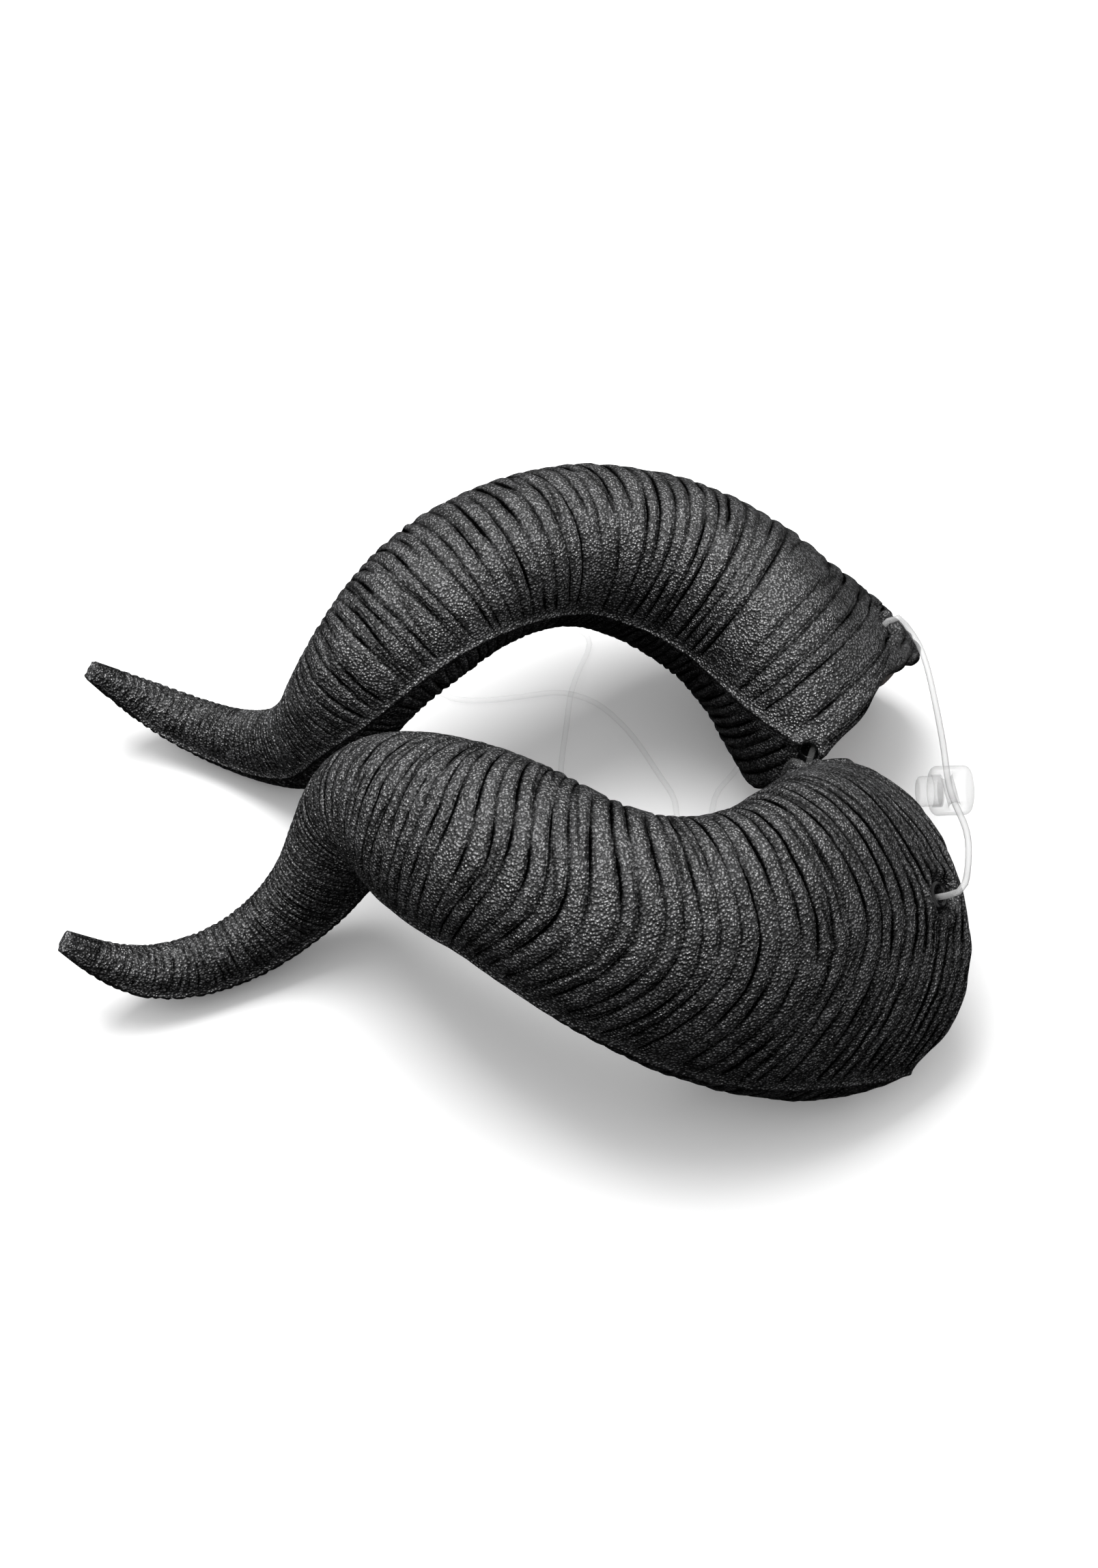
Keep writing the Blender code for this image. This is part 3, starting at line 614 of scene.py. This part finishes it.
def base_rings(sizes, rim, count=15):
    """Rings of the dished face inside a rim, from the rim inwards, and its middle point.

    A ring's points lie at the share r of the way from the middle to the rim, and sink by the dish's
    depth times (1 - r^2), until the flat middle.
    """
    middle = rim.mean(axis=0)
    facing = np.cross(rim - middle, np.roll(rim, -1, axis=0) - middle).sum(axis=0)
    facing /= np.linalg.norm(facing)
    offset = rim - middle
    if facing[0] < 0.0:
        facing = -facing
    height = offset @ facing
    across = offset - height[:, None] * facing
    radius = np.linalg.norm(across, axis=1)
    flat = sizes.dish_flat / radius.mean()
    rings = []
    for r in np.linspace(1.0, 0.0, count + 1)[1:-1]:
        sink = sizes.dish_depth * min(1.0, (1.0 - r * r) / (1.0 - flat * flat))
        keep = r * float(ease_step(flat, 0.62, r))
        rings.append(middle + r * across + (keep * height - sink)[:, None] * facing)
    return rings, middle - sizes.dish_depth * facing


def tip_rings(points, dice):
    """Rings that close the tip as a rough cut: shares r of the way out, set back and forth a little."""
    middle = points[0].mean(axis=0)
    way = middle - points[6].mean(axis=0)
    way /= np.linalg.norm(way)
    rings = []
    turns = np.linspace(0.0, 2.0 * np.pi, points.shape[1], endpoint=False)
    rough = sum(dice.uniform(0.2, 0.5) * np.sin(k * turns + dice.uniform(0.0, 6.28)) for k in (2, 3, 5, 8))
    for r in TIP_SHARES:
        out = 0.0007 * math.sqrt(1.0 - r * r) + 0.0005 * r * r * rough
        rings.append(middle + r * (points[0] - middle) + out[:, None] * way)
    return rings, middle + 0.0009 * way


# Meshes and materials

def grid_mesh(name, grid, start, end, finishes, turned, split=None, values=None, ribs=None):
    """A mesh over rows of points closed round each row, with a pole before the first and after the
    last. Rows from split on take the second finish. values, the painted shade, and ribs are kept as
    attributes.
    """
    rows, columns = grid.shape[:2]
    points = np.concatenate([grid.reshape(-1, 3), [start, end]])
    row, place = np.meshgrid(np.arange(rows - 1), np.arange(columns), indexing="ij")
    after = (place + 1) % columns
    quads = np.stack([row * columns + place, (row + 1) * columns + place,
                      (row + 1) * columns + after, row * columns + after], -1).reshape(-1, 4)
    ring = np.arange(columns)
    nexts = (ring + 1) % columns
    first = np.stack([ring, nexts, np.full(columns, rows * columns)], 1)
    last = np.stack([(rows - 1) * columns + nexts, (rows - 1) * columns + ring,
                     np.full(columns, rows * columns + 1)], 1)
    if turned:
        quads, first, last = quads[:, ::-1], first[:, ::-1], last[:, ::-1]
    mesh = bpy.data.meshes.new(name)
    corners = np.concatenate([quads.ravel(), first.ravel(), last.ravel()]).astype(np.int32)
    sizes_of = np.concatenate([np.full(len(quads), 4), np.full(2 * columns, 3)])
    mesh.vertices.add(len(points))
    mesh.vertices.foreach_set("co", points.astype(np.float32).ravel())
    mesh.loops.add(len(corners))
    mesh.loops.foreach_set("vertex_index", corners)
    mesh.polygons.add(len(sizes_of))
    mesh.polygons.foreach_set("loop_start", np.concatenate([[0], np.cumsum(sizes_of)[:-1]]).astype(np.int32))
    for finish in finishes:
        mesh.materials.append(finish)
    if split is not None:
        slots = np.zeros(len(sizes_of), np.int32)
        slots[split * columns:len(quads)] = 1
        slots[-columns:] = 1
        mesh.polygons.foreach_set("material_index", slots)
    if values is not None:
        kept = mesh.attributes.new("hollow", "FLOAT", "POINT")
        kept.data.foreach_set("value", np.concatenate([values.ravel(), [0.0, 0.0]]).astype(np.float32))
        kept = mesh.attributes.new("ribs", "FLOAT_VECTOR", "POINT")
        kept.data.foreach_set("vector", np.concatenate([ribs.ravel(), np.zeros(6)]).astype(np.float32))
    mesh.update(calc_edges=True)
    mesh.validate()
    mesh.shade_smooth()
    return link(name, mesh)


def link(name, data):
    """A new object with this data in the scene."""
    made = bpy.data.objects.new(name, data)
    bpy.context.scene.collection.objects.link(made)
    return made


def revolved(profile, sides):
    """Points (r cos a, r sin a, z) for each (radius r, height z) of a profile and each angle a."""
    loop = np.array(profile)
    turns = np.linspace(0.0, 2.0 * np.pi, sides, endpoint=False)
    return np.stack([loop[:, None, 0] * np.cos(turns), loop[:, None, 0] * np.sin(turns),
                     np.broadcast_to(loop[:, None, 1], (len(loop), sides))], -1)


def lathe(name, profile, sides, finish, place):
    """A ring turned about its own Z from a closed loop of (radius, height) points, then set in place."""
    points = revolved(profile, sides)
    count = len(profile)
    row, side = np.meshgrid(np.arange(count), np.arange(sides), indexing="ij")
    after, higher = (side + 1) % sides, (row + 1) % count
    quads = np.stack([row * sides + side, row * sides + after,
                      higher * sides + after, higher * sides + side], -1).reshape(-1, 4)
    mesh = bpy.data.meshes.new(name)
    mesh.from_pydata(points.reshape(-1, 3).tolist(), [], quads.tolist())
    mesh.transform(place)
    mesh.materials.append(finish)
    mesh.shade_smooth()
    return link(name, mesh)


def turned(name, profile, sides, finish, place):
    """A closed solid turned about its own Z from (radius, height) points between two poles."""
    made = grid_mesh(name, revolved(profile[1:-1], sides), (0.0, 0.0, profile[0][1]),
                     (0.0, 0.0, profile[-1][1]), [finish], True)
    made.data.transform(place)
    made.data.set_sharp_from_angle(angle=CREASE)
    return made


def add_node(tree, kind, settings=(), links=()):
    """Adds the shader node of a kind, sets its properties and inputs by name, and links
    (input, node, output).
    """
    made = tree.nodes.new("ShaderNode" + kind)
    for name, value in dict(settings).items():
        if isinstance(name, str) and hasattr(made, name):
            setattr(made, name, value)
        else:
            made.inputs[name].default_value = value
    for target, source, output in links:
        tree.links.new(source.outputs[output], made.inputs[target])
    return made


def new_material(name):
    """An empty material's tree with its output node."""
    made = bpy.data.materials.new(name)
    made.use_nodes = True
    made.node_tree.nodes.clear()
    return made, made.node_tree, add_node(made.node_tree, "OutputMaterial")


def painted_groove_shade_and_lip_highlight(tree, specks):
    """How much brighter a point is painted than the plain skin, from -0.5 to 0.5, by its mm from a
    groove: painted shade in the groove's line and a painted highlight on its lip.

    The ribs attribute counts the grooves passed, so the part left over, less a half, times the local
    pitch gives the mm from the nearest line, made ragged by the fine noise. The tone there is
    GROOVE_SHADE_AND_LIP_HIGHLIGHT, times the groove's share of the full depth.
    """
    ribs = add_node(tree, "SeparateXYZ", (),
                    [("Vector", add_node(tree, "Attribute", {"attribute_name": "ribs"}), "Vector")])
    half_on = add_node(tree, "Math", {"operation": "ADD", 1: 0.5}, [(0, ribs, "X")])
    part = add_node(tree, "Math", {"operation": "FRACT"}, [(0, half_on, "Value")])
    from_line = add_node(tree, "Math", {"operation": "SUBTRACT", 1: 0.5}, [(0, part, "Value")])
    away = add_node(tree, "Math", {"operation": "MULTIPLY"}, [(0, from_line, "Value"), (1, ribs, "Z")])
    ragged = add_node(tree, "Math", {"operation": "MULTIPLY_ADD", 1: 0.7, 2: -0.35},
                      [(0, specks, "Fac")])
    wavy = add_node(tree, "Math", {"operation": "ADD"}, [(0, away, "Value"), (1, ragged, "Value")])
    fac = add_node(tree, "MapRange", {"From Min": -2.5, "From Max": 2.5}, [("Value", wavy, "Value")])
    profile = add_node(tree, "ValToRGB", (), [("Fac", fac, "Result")])
    profile.color_ramp.interpolation = "EASE"
    stops = profile.color_ramp.elements
    stops[0].position, stops[1].position = 0.0, 1.0
    for where, high in GROOVE_SHADE_AND_LIP_HIGHLIGHT:
        stops.new(where).color = (high, high, high, 1.0)
    for stop in (stops[0], stops[-1]):
        stop.color = (0.5, 0.5, 0.5, 1.0)
    offset = add_node(tree, "Math", {"operation": "SUBTRACT", 1: 0.5}, [(0, profile, "Color")])
    return add_node(tree, "Math", {"operation": "MULTIPLY"}, [(0, offset, "Value"), (1, ribs, "Y")])


def foam_skin_material(sizes):
    """Self-skinned polyurethane foam out of a textured mould.

    The eye sees a satin black skin with a pebbled grain of 0.8 mm and paler worn patches. Painted into
    its colour are glints on the grain, shade in the grooves' dark lines and in the pits, and highlights
    on each groove's tip-side lip and along the seam's flash.
    """
    made, tree, out = new_material("self_skinned_foam_satin")
    place = add_node(tree, "TexCoord")
    grain = add_node(tree, "TexVoronoi", {"feature": "SMOOTH_F1", "Scale": 1250.0,
                     "Smoothness": 0.5, "Randomness": 1.0}, [("Vector", place, "Object")])
    specks = add_node(tree, "TexNoise", {"Scale": 2000.0, "Detail": 2.0, "Roughness": 0.6},
                      [("Vector", place, "Object")])
    patches = add_node(tree, "TexNoise", {"Scale": 160.0, "Detail": 4.0, "Roughness": 0.65},
                       [("Vector", place, "Object")])
    pebble = add_node(tree, "MapRange", {"From Max": 0.75, "To Min": 1.0, "To Max": 0.0},
                      [("Value", grain, "Distance")])
    # Painted glints: the grain brightens and darkens the base colour as well as the gloss
    glint = add_node(tree, "MapRange", {"From Min": 0.25, "From Max": 0.85, "To Min": 0.30,
                     "To Max": 1.85}, [("Value", pebble, "Result")])
    hollow = add_node(tree, "Attribute", {"attribute_name": "hollow"})
    # Painted shade in each groove's line and a painted highlight on its lip; the same value is the ridge
    # bump's height
    cut = painted_groove_shade_and_lip_highlight(tree, specks)
    tone = add_node(tree, "MapRange", {"From Min": 0.38, "From Max": 0.66}, [("Value", patches, "Fac")])
    mixed = add_node(tree, "Mix", {"data_type": "RGBA"}, [("Factor", tone, "Result")])
    mixed.inputs[6].default_value = (*sizes.skin_colour, 1.0)
    mixed.inputs[7].default_value = (*sizes.worn_colour, 1.0)
    light = add_node(tree, "MapRange", {"From Min": -0.40, "From Max": 0.40, "To Min": 0.02,
                     "To Max": 2.0}, [("Value", cut, "Value")])
    # Painted shade, darkest in the grooves and pits, and a painted highlight along the seam's flash
    shade = add_node(tree, "Math", {"operation": "MULTIPLY_ADD", 1: -0.9, 2: 1.0}, [(0, hollow, "Fac")])
    even = add_node(tree, "Math", {"operation": "MULTIPLY"}, [(0, light, "Result"), (1, shade, "Value")])
    level = add_node(tree, "Math", {"operation": "MULTIPLY"}, [(0, even, "Value"), (1, glint, "Result")])
    # The base colour carries the painted glints, shade and highlights
    lit = add_node(tree, "VectorMath", {"operation": "SCALE"}, [("Scale", level, "Value")])
    tree.links.new(mixed.outputs[2], lit.inputs[0])
    rough = add_node(tree, "MapRange", {"From Min": 0.3, "From Max": 0.75, "To Min": 0.29,
                     "To Max": 0.46}, [("Value", patches, "Fac")])
    gloss = add_node(tree, "Math", {"operation": "MULTIPLY", 1: 1.30}, [(0, level, "Value")])
    ridge = add_node(tree, "Bump", {"Strength": 1.0, "Distance": 0.0011}, [("Height", cut, "Value")])
    both = add_node(tree, "Math", {"operation": "MULTIPLY_ADD", 1: 0.6},
                    [(0, specks, "Fac"), (2, pebble, "Result")])
    bump = add_node(tree, "Bump", {"Strength": 1.0, "Distance": 0.00044},
                    [("Height", both, "Value"), ("Normal", ridge, "Normal")])
    shader = add_node(tree, "BsdfPrincipled", {"IOR": 1.68},
                      [("Roughness", rough, "Result"), ("Normal", bump, "Normal"),
                       ("Base Color", lit, "Vector"),
                       ("Specular IOR Level", gloss, "Value")])
    tree.links.new(shader.outputs["BSDF"], out.inputs["Surface"])
    return made


def cut_foam_material(sizes):
    """The same foam where it was cut across: open cells of 0.6 mm, dull warm grey, no shine."""
    made, tree, out = new_material("open_cell_foam_cut")
    place = add_node(tree, "TexCoord")
    cells = add_node(tree, "TexVoronoi", {"feature": "F1", "Scale": 1400.0},
                     [("Vector", place, "Object")])
    waves = add_node(tree, "TexNoise", {"Scale": 120.0, "Detail": 3.0}, [("Vector", place, "Object")])
    mixed = add_node(tree, "Mix", {"data_type": "RGBA"}, [("Factor", waves, "Fac")])
    mixed.inputs[6].default_value = (*linear("#857D7A"), 1.0)
    mixed.inputs[7].default_value = (*sizes.cut_colour, 1.0)
    bump = add_node(tree, "Bump", {"Strength": 0.8, "Distance": 0.0003}, [("Height", cells, "Distance")])
    shader = add_node(tree, "BsdfPrincipled", {"Roughness": 0.92}, [("Normal", bump, "Normal")])
    tree.links.new(mixed.outputs[2], shader.inputs["Base Color"])
    tree.links.new(shader.outputs["BSDF"], out.inputs["Surface"])
    return made


def enamel_material(sizes):
    """Stove-enamelled brass: deep black with a clean gloss, hazy where fingers have rubbed it."""
    made, tree, out = new_material("black_enamel_gloss")
    place = add_node(tree, "TexCoord")
    haze = add_node(tree, "TexNoise", {"Scale": 700.0, "Detail": 3.0}, [("Vector", place, "Object")])
    rough = add_node(tree, "MapRange", {"To Min": 0.06, "To Max": 0.22}, [("Value", haze, "Fac")])
    shader = add_node(tree, "BsdfPrincipled", {"Base Color": (*sizes.colour, 1.0), "IOR": 1.52},
                      [("Roughness", rough, "Result")])
    tree.links.new(shader.outputs["BSDF"], out.inputs["Surface"])
    return made


def clear_material(name, sizes, middle, edge, wave):
    """Clear soft plastic, moulded or drawn: the white floor shows through its middle, its edges turn
    milky, and it shines along its length with a faint unevenness.
    """
    made, tree, out = new_material(name)
    place = add_node(tree, "TexCoord")
    uneven = add_node(tree, "TexNoise", {"Scale": wave, "Detail": 2.0}, [("Vector", place, "Object")])
    rough = add_node(tree, "MapRange", {"To Min": 0.06, "To Max": 0.18}, [("Value", uneven, "Fac")])
    bump = add_node(tree, "Bump", {"Strength": 0.25, "Distance": 0.0001}, [("Height", uneven, "Fac")])
    facing = add_node(tree, "LayerWeight", {"Blend": 0.35})
    solid = add_node(tree, "MapRange", {"To Min": middle, "To Max": edge}, [("Value", facing, "Facing")])
    shader = add_node(tree, "BsdfPrincipled", {"Base Color": (*sizes.colour, 1.0), "IOR": 1.45},
                      [("Roughness", rough, "Result"), ("Normal", bump, "Normal"),
                       ("Alpha", solid, "Result")])
    tree.links.new(shader.outputs["BSDF"], out.inputs["Surface"])
    return made


# Operators

def cad_origin():
    """How the horns rest, and the middle of the pair's footprint, from the packed near brow eyelet:
    its seat with no origin taken off, less the middle of its box.
    """
    scene = bpy.context.scene
    low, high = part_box("eyelet_near_brow")
    middle = 0.5 * (low + high)
    rest = resting_place(scene.horn_sizes)
    free = np.array(seat(scene.horn_sizes, EYELETS["near_brow"], "near", rest, (0.0, 0.0),
                         scene.eyelet_sizes.sunk).translation)
    return rest, free[:2] - np.array(middle[:2])


def stand_for(made, node):
    """Rides a piece on the root body and hides the CAD node it replaces."""
    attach(made, "root")
    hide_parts(node)


def smooth_route(route, step, low):
    """Points of a spline through a route in mm, at equal steps, kept above a lowest height."""
    points = natural_spline(route, np.linspace(0.0, 1.0, 40 * len(route))) / 1000.0
    points[:, 2] = np.maximum(points[:, 2], low)
    length = np.concatenate([[0.0], np.cumsum(np.linalg.norm(np.diff(points, axis=0), axis=1))])
    at = np.linspace(0.0, length[-1], int(round(length[-1] / step)) + 1)
    return np.stack([np.interp(at, length, points[:, axis]) for axis in range(3)], 1), length[-1]


def studio_world(stage):
    """Soft white room: dim in front and black below, and brighter towards the top, sides and back.

    Its glow rises with z + 1.3 |x| + 0.6 y of the direction, and stops just below the horizon.
    """
    world = bpy.data.worlds.new("studio")
    world.use_nodes = True
    tree = world.node_tree
    background = tree.nodes["Background"]
    background.inputs["Color"].default_value = (1.0, 1.0, 1.0, 1.0)
    way = add_node(tree, "SeparateXYZ", (), [("Vector", add_node(tree, "TexCoord"), "Generated")])
    side = add_node(tree, "Math", {"operation": "ABSOLUTE"}, [(0, way, "X")])
    higher = add_node(tree, "Math", {"operation": "MULTIPLY_ADD", 1: 1.3},
                      [(0, side, "Value"), (2, way, "Z")])
    behind = add_node(tree, "Math", {"operation": "MULTIPLY_ADD", 1: 0.6},
                      [(0, way, "Y"), (2, higher, "Value")])
    glow = add_node(tree, "MapRange", {"From Min": -0.1, "From Max": 1.2,
                    "To Min": stage.front_glow, "To Max": stage.back_glow}, [("Value", behind, "Value")])
    above = add_node(tree, "MapRange", {"From Min": -0.14, "From Max": -0.08}, [("Value", way, "Z")])
    strength = add_node(tree, "Math", {"operation": "MULTIPLY"},
                        [(0, glow, "Result"), (1, above, "Result")])
    tree.links.new(strength.outputs["Value"], background.inputs["Strength"])
    return world


class HORNS_OT_stage(bpy.types.Operator):
    """Sets the camera, the white floor and the soft lights."""
    bl_idname = "horns.stage"
    bl_label = "Stage"

    def execute(self, context):
        stage = context.scene.stage_settings
        camera = link("camera", bpy.data.cameras.new("camera"))
        camera.data.lens = stage.lens
        camera.data.sensor_width = 36.0
        camera.data.clip_start = 0.01
        camera.location = CAMERA_PLACE
        camera.rotation_euler = (math.radians(90.0 - stage.pitch), 0.0, 0.0)
        context.scene.camera = camera
        half = 0.5 * stage.floor_size
        mesh = bpy.data.meshes.new("floor")
        mesh.from_pydata([(-half, -half, 0.0), (half, -half, 0.0), (half, half, 0.0), (-half, half, 0.0)],
                         [], [(0, 1, 2, 3)])
        paper, tree, out = new_material("white_paper_matt")
        shader = add_node(tree, "BsdfPrincipled",
                          {"Base Color": (*stage.floor_colour, 1.0), "Roughness": 0.9,
                           "Emission Color": (1.0, 1.0, 1.0, 1.0), "Emission Strength": 0.09})
        tree.links.new(shader.outputs["BSDF"], out.inputs["Surface"])
        mesh.materials.append(paper)
        floor = link("floor", mesh)
        floor.visible_glossy = floor.visible_diffuse = False
        for name, place, size, power in LIGHTS:
            data = bpy.data.lights.new(name, "AREA")
            data.size = size
            data.energy = getattr(stage, power)
            lamp = link(name, data)
            lamp.location = place
            lamp.rotation_euler = (-Vector(place)).to_track_quat("-Z", "Y").to_euler()
        context.scene.world = studio_world(stage)
        context.scene.view_settings.view_transform = "Standard"
        return {"FINISHED"}


class HORNS_OT_cords(bpy.types.Operator):
    """Lays the short brow cord and the long chin cord."""
    bl_idname = "horns.cords"
    bl_label = "Cords"

    def execute(self, context):
        sizes = context.scene.cord_sizes
        stout = clear_material("drawn_elastic_clear", sizes, middle=0.35, edge=0.80, wave=400.0)
        clearer = clear_material("drawn_elastic_clearer", sizes, middle=0.03, edge=0.11, wave=400.0)
        for name, route, clear in (("brow_elastic", BROW_ROUTE, stout),
                                   ("chin_elastic", CHIN_ROUTE, clearer)):
            points, length = smooth_route(route, sizes.step, sizes.low)
            curve = bpy.data.curves.new(name, "CURVE")
            curve.dimensions = "3D"
            curve.bevel_depth = 0.5 * sizes.diameter
            curve.bevel_resolution = 4
            curve.use_fill_caps = True
            spline = curve.splines.new("POLY")
            spline.points.add(len(points) - 1)
            spline.points.foreach_set("co", np.c_[points, np.ones(len(points))].ravel())
            spline.use_smooth = True
            curve.materials.append(clear)
            made = link(name, curve)
            made["route_length"] = length
            stand_for(made, name.replace("elastic", "cord"))
        return {"FINISHED"}


class HORNS_OT_lock(bpy.types.Operator):
    bl_idname = "horns.lock"
    bl_label = "Cord lock"

    def execute(self, context):
        sizes = context.scene.cord_sizes
        clear = clear_material("moulded_clear_plastic", sizes, middle=0.06, edge=0.42, wave=250.0)
        at = LOCK_POINT / (len(BROW_ROUTE) - 1.0)
        before, here, after = natural_spline(BROW_ROUTE, np.array([at - 0.01, at, at + 0.01])) / 1000.0
        middle, cordway = Vector(here), Vector(after - before).normalized()
        button_way = Vector((-1.0, 0.0, 0.0))
        button_way = (button_way - cordway * button_way.dot(cordway)).normalized()
        turn = Matrix((cordway.cross(button_way), cordway, button_way)).transposed().to_4x4()
        where = Matrix.Translation(middle) @ turn
        half, edge = 0.5 * sizes.lock_long, sizes.lock_rounding
        quarter = np.radians(np.linspace(0.0, 90.0, 9))
        lower = [(sizes.lock_radius - edge + edge * math.sin(a), -half + edge - edge * math.cos(a))
                 for a in quarter]
        upper = [(r, -z) for r, z in reversed(lower)]
        socket = sizes.button_radius + sizes.button_gap
        floor = half - sizes.button_in - sizes.button_gap
        profile = [(0.0, -half)] + lower + upper + [(socket, half), (socket, floor), (0.0, floor)]
        body = turned("lock_body", profile, 64, clear, where)
        reach = 2.0 * sizes.lock_radius
        bore = [(0.0, -reach), (sizes.lock_bore, -reach), (sizes.lock_bore, reach), (0.0, reach)]
        across = Matrix.Translation(middle) @ cordway.to_track_quat("Z", "X").to_matrix().to_4x4()
        cutter = turned("lock_bore", bore, 32, clear, across)
        hole = body.modifiers.new("bore", "BOOLEAN")
        hole.operation = "DIFFERENCE"
        hole.object = cutter
        drilled = bpy.data.meshes.new_from_object(body.evaluated_get(context.evaluated_depsgraph_get()))
        body.modifiers.clear()
        body.data = drilled
        bpy.data.objects.remove(cutter)
        inside, outside = half - sizes.button_in, half + sizes.button_out
        edge = DOME * sizes.button_radius
        dome = [(sizes.button_radius - edge + edge * math.cos(a), outside - edge + edge * math.sin(a))
                for a in quarter]
        knob = [(0.0, inside), (sizes.button_radius, inside)] + dome + [(0.0, outside)]
        button = turned("lock_button", knob, 48, clear, where)
        for made, node in ((body, "cord_lock_body"), (button, "cord_lock_button")):
            stand_for(made, node)
        return {"FINISHED"}


class HORNS_OT_eyelets(bpy.types.Operator):
    """Seats a rolled black eyelet in each pit."""
    bl_idname = "horns.eyelets"
    bl_label = "Eyelets"

    def execute(self, context):
        sizes, horn = context.scene.eyelet_sizes, context.scene.horn_sizes
        enamel = enamel_material(sizes)
        rest, origin = cad_origin()
        roll = 0.5 * sizes.rim
        flat, outer = 0.5 * (sizes.bore + sizes.radius), sizes.radius
        crown = np.radians(np.linspace(180.0, 0.0, 15))
        wide = 0.5 * (outer - sizes.bore)
        profile = [(flat + wide * math.cos(a), -roll + roll * math.sin(a)) for a in crown]
        profile += [(outer, -sizes.rim), (BARREL, -sizes.rim), (BARREL, -BARREL_DEEP),
                    (THROAT, -BARREL_DEEP), (THROAT, -THROAT_DEEP)]
        for name, place in EYELETS.items():
            where = seat(horn, place, name.split("_")[0], rest, origin, sizes.sunk)
            made = lathe(name + "_eyelet", profile[::-1], 48, enamel, where)
            made.data.set_sharp_from_angle(angle=CREASE)
            stand_for(made, "eyelet_" + name)
        return {"FINISHED"}


class HORNS_OT_horns(bpy.types.Operator):
    """Grows the two ribbed foam horns."""
    bl_idname = "horns.horns"
    bl_label = "Horns"

    def execute(self, context):
        sizes = context.scene.horn_sizes
        foam, cut_foam = foam_skin_material(sizes), cut_foam_material(sizes)
        rest, origin = cad_origin()
        for side in ("near", "far"):
            points, hollow, ribs = horn_surface(sizes, side, rest, origin)
            face, middle = base_rings(sizes, points[-1])
            cap, tip = tip_rings(points, np.random.default_rng(TIP_SEEDS[side]))
            grid = np.concatenate([cap, points, face])
            grid[..., 2] = np.maximum(grid[..., 2], 0.0)
            values = np.concatenate([np.zeros(np.shape(cap)[:2]), hollow, np.zeros(np.shape(face)[:2])])
            ribs = np.concatenate([np.zeros(np.shape(cap)), ribs, np.zeros(np.shape(face))])
            made = grid_mesh(side + "_horn", grid, tip, middle, [foam, cut_foam], side == "near",
                             len(cap) + len(points) - 1, values, ribs)
            stand_for(made, "horn_" + side)
        return {"FINISHED"}


class HORNS_PT_panel(bpy.types.Panel):
    """Lists the pieces of the pair of horns."""
    bl_label = "Costume horns"
    bl_idname = "HORNS_PT_panel"
    bl_space_type = "VIEW_3D"
    bl_region_type = "UI"
    bl_category = "Horns"

    def draw(self, context):
        for operator in OPERATORS:
            self.layout.operator(operator.bl_idname)
        for held, group in GROUPS.items():
            box = self.layout.box()
            box.label(text=group.__doc__)
            for name in group.__annotations__:
                box.prop(getattr(context.scene, held), name)


OPERATORS = (HORNS_OT_stage, HORNS_OT_cords, HORNS_OT_lock, HORNS_OT_eyelets, HORNS_OT_horns)
GROUPS = {"horn_sizes": HornSizes, "eyelet_sizes": EyeletSizes, "cord_sizes": CordSizes,
          "stage_settings": StageSettings}


def register():
    """Registers the classes, and keeps each group of settings on the scene."""
    for made in (*GROUPS.values(), *OPERATORS, HORNS_PT_panel):
        bpy.utils.register_class(made)
    for name, group in GROUPS.items():
        setattr(bpy.types.Scene, name, PointerProperty(type=group))


def unregister():
    """Takes the settings and the classes away again."""
    for name in GROUPS:
        delattr(bpy.types.Scene, name)
    for made in reversed((*GROUPS.values(), *OPERATORS, HORNS_PT_panel)):
        bpy.utils.unregister_class(made)


def main():
    """Makes every piece in order."""
    register()
    for operator in OPERATORS:
        getattr(bpy.ops.horns, operator.bl_idname.split(".")[1])()


if __name__ == "__main__":
    main()
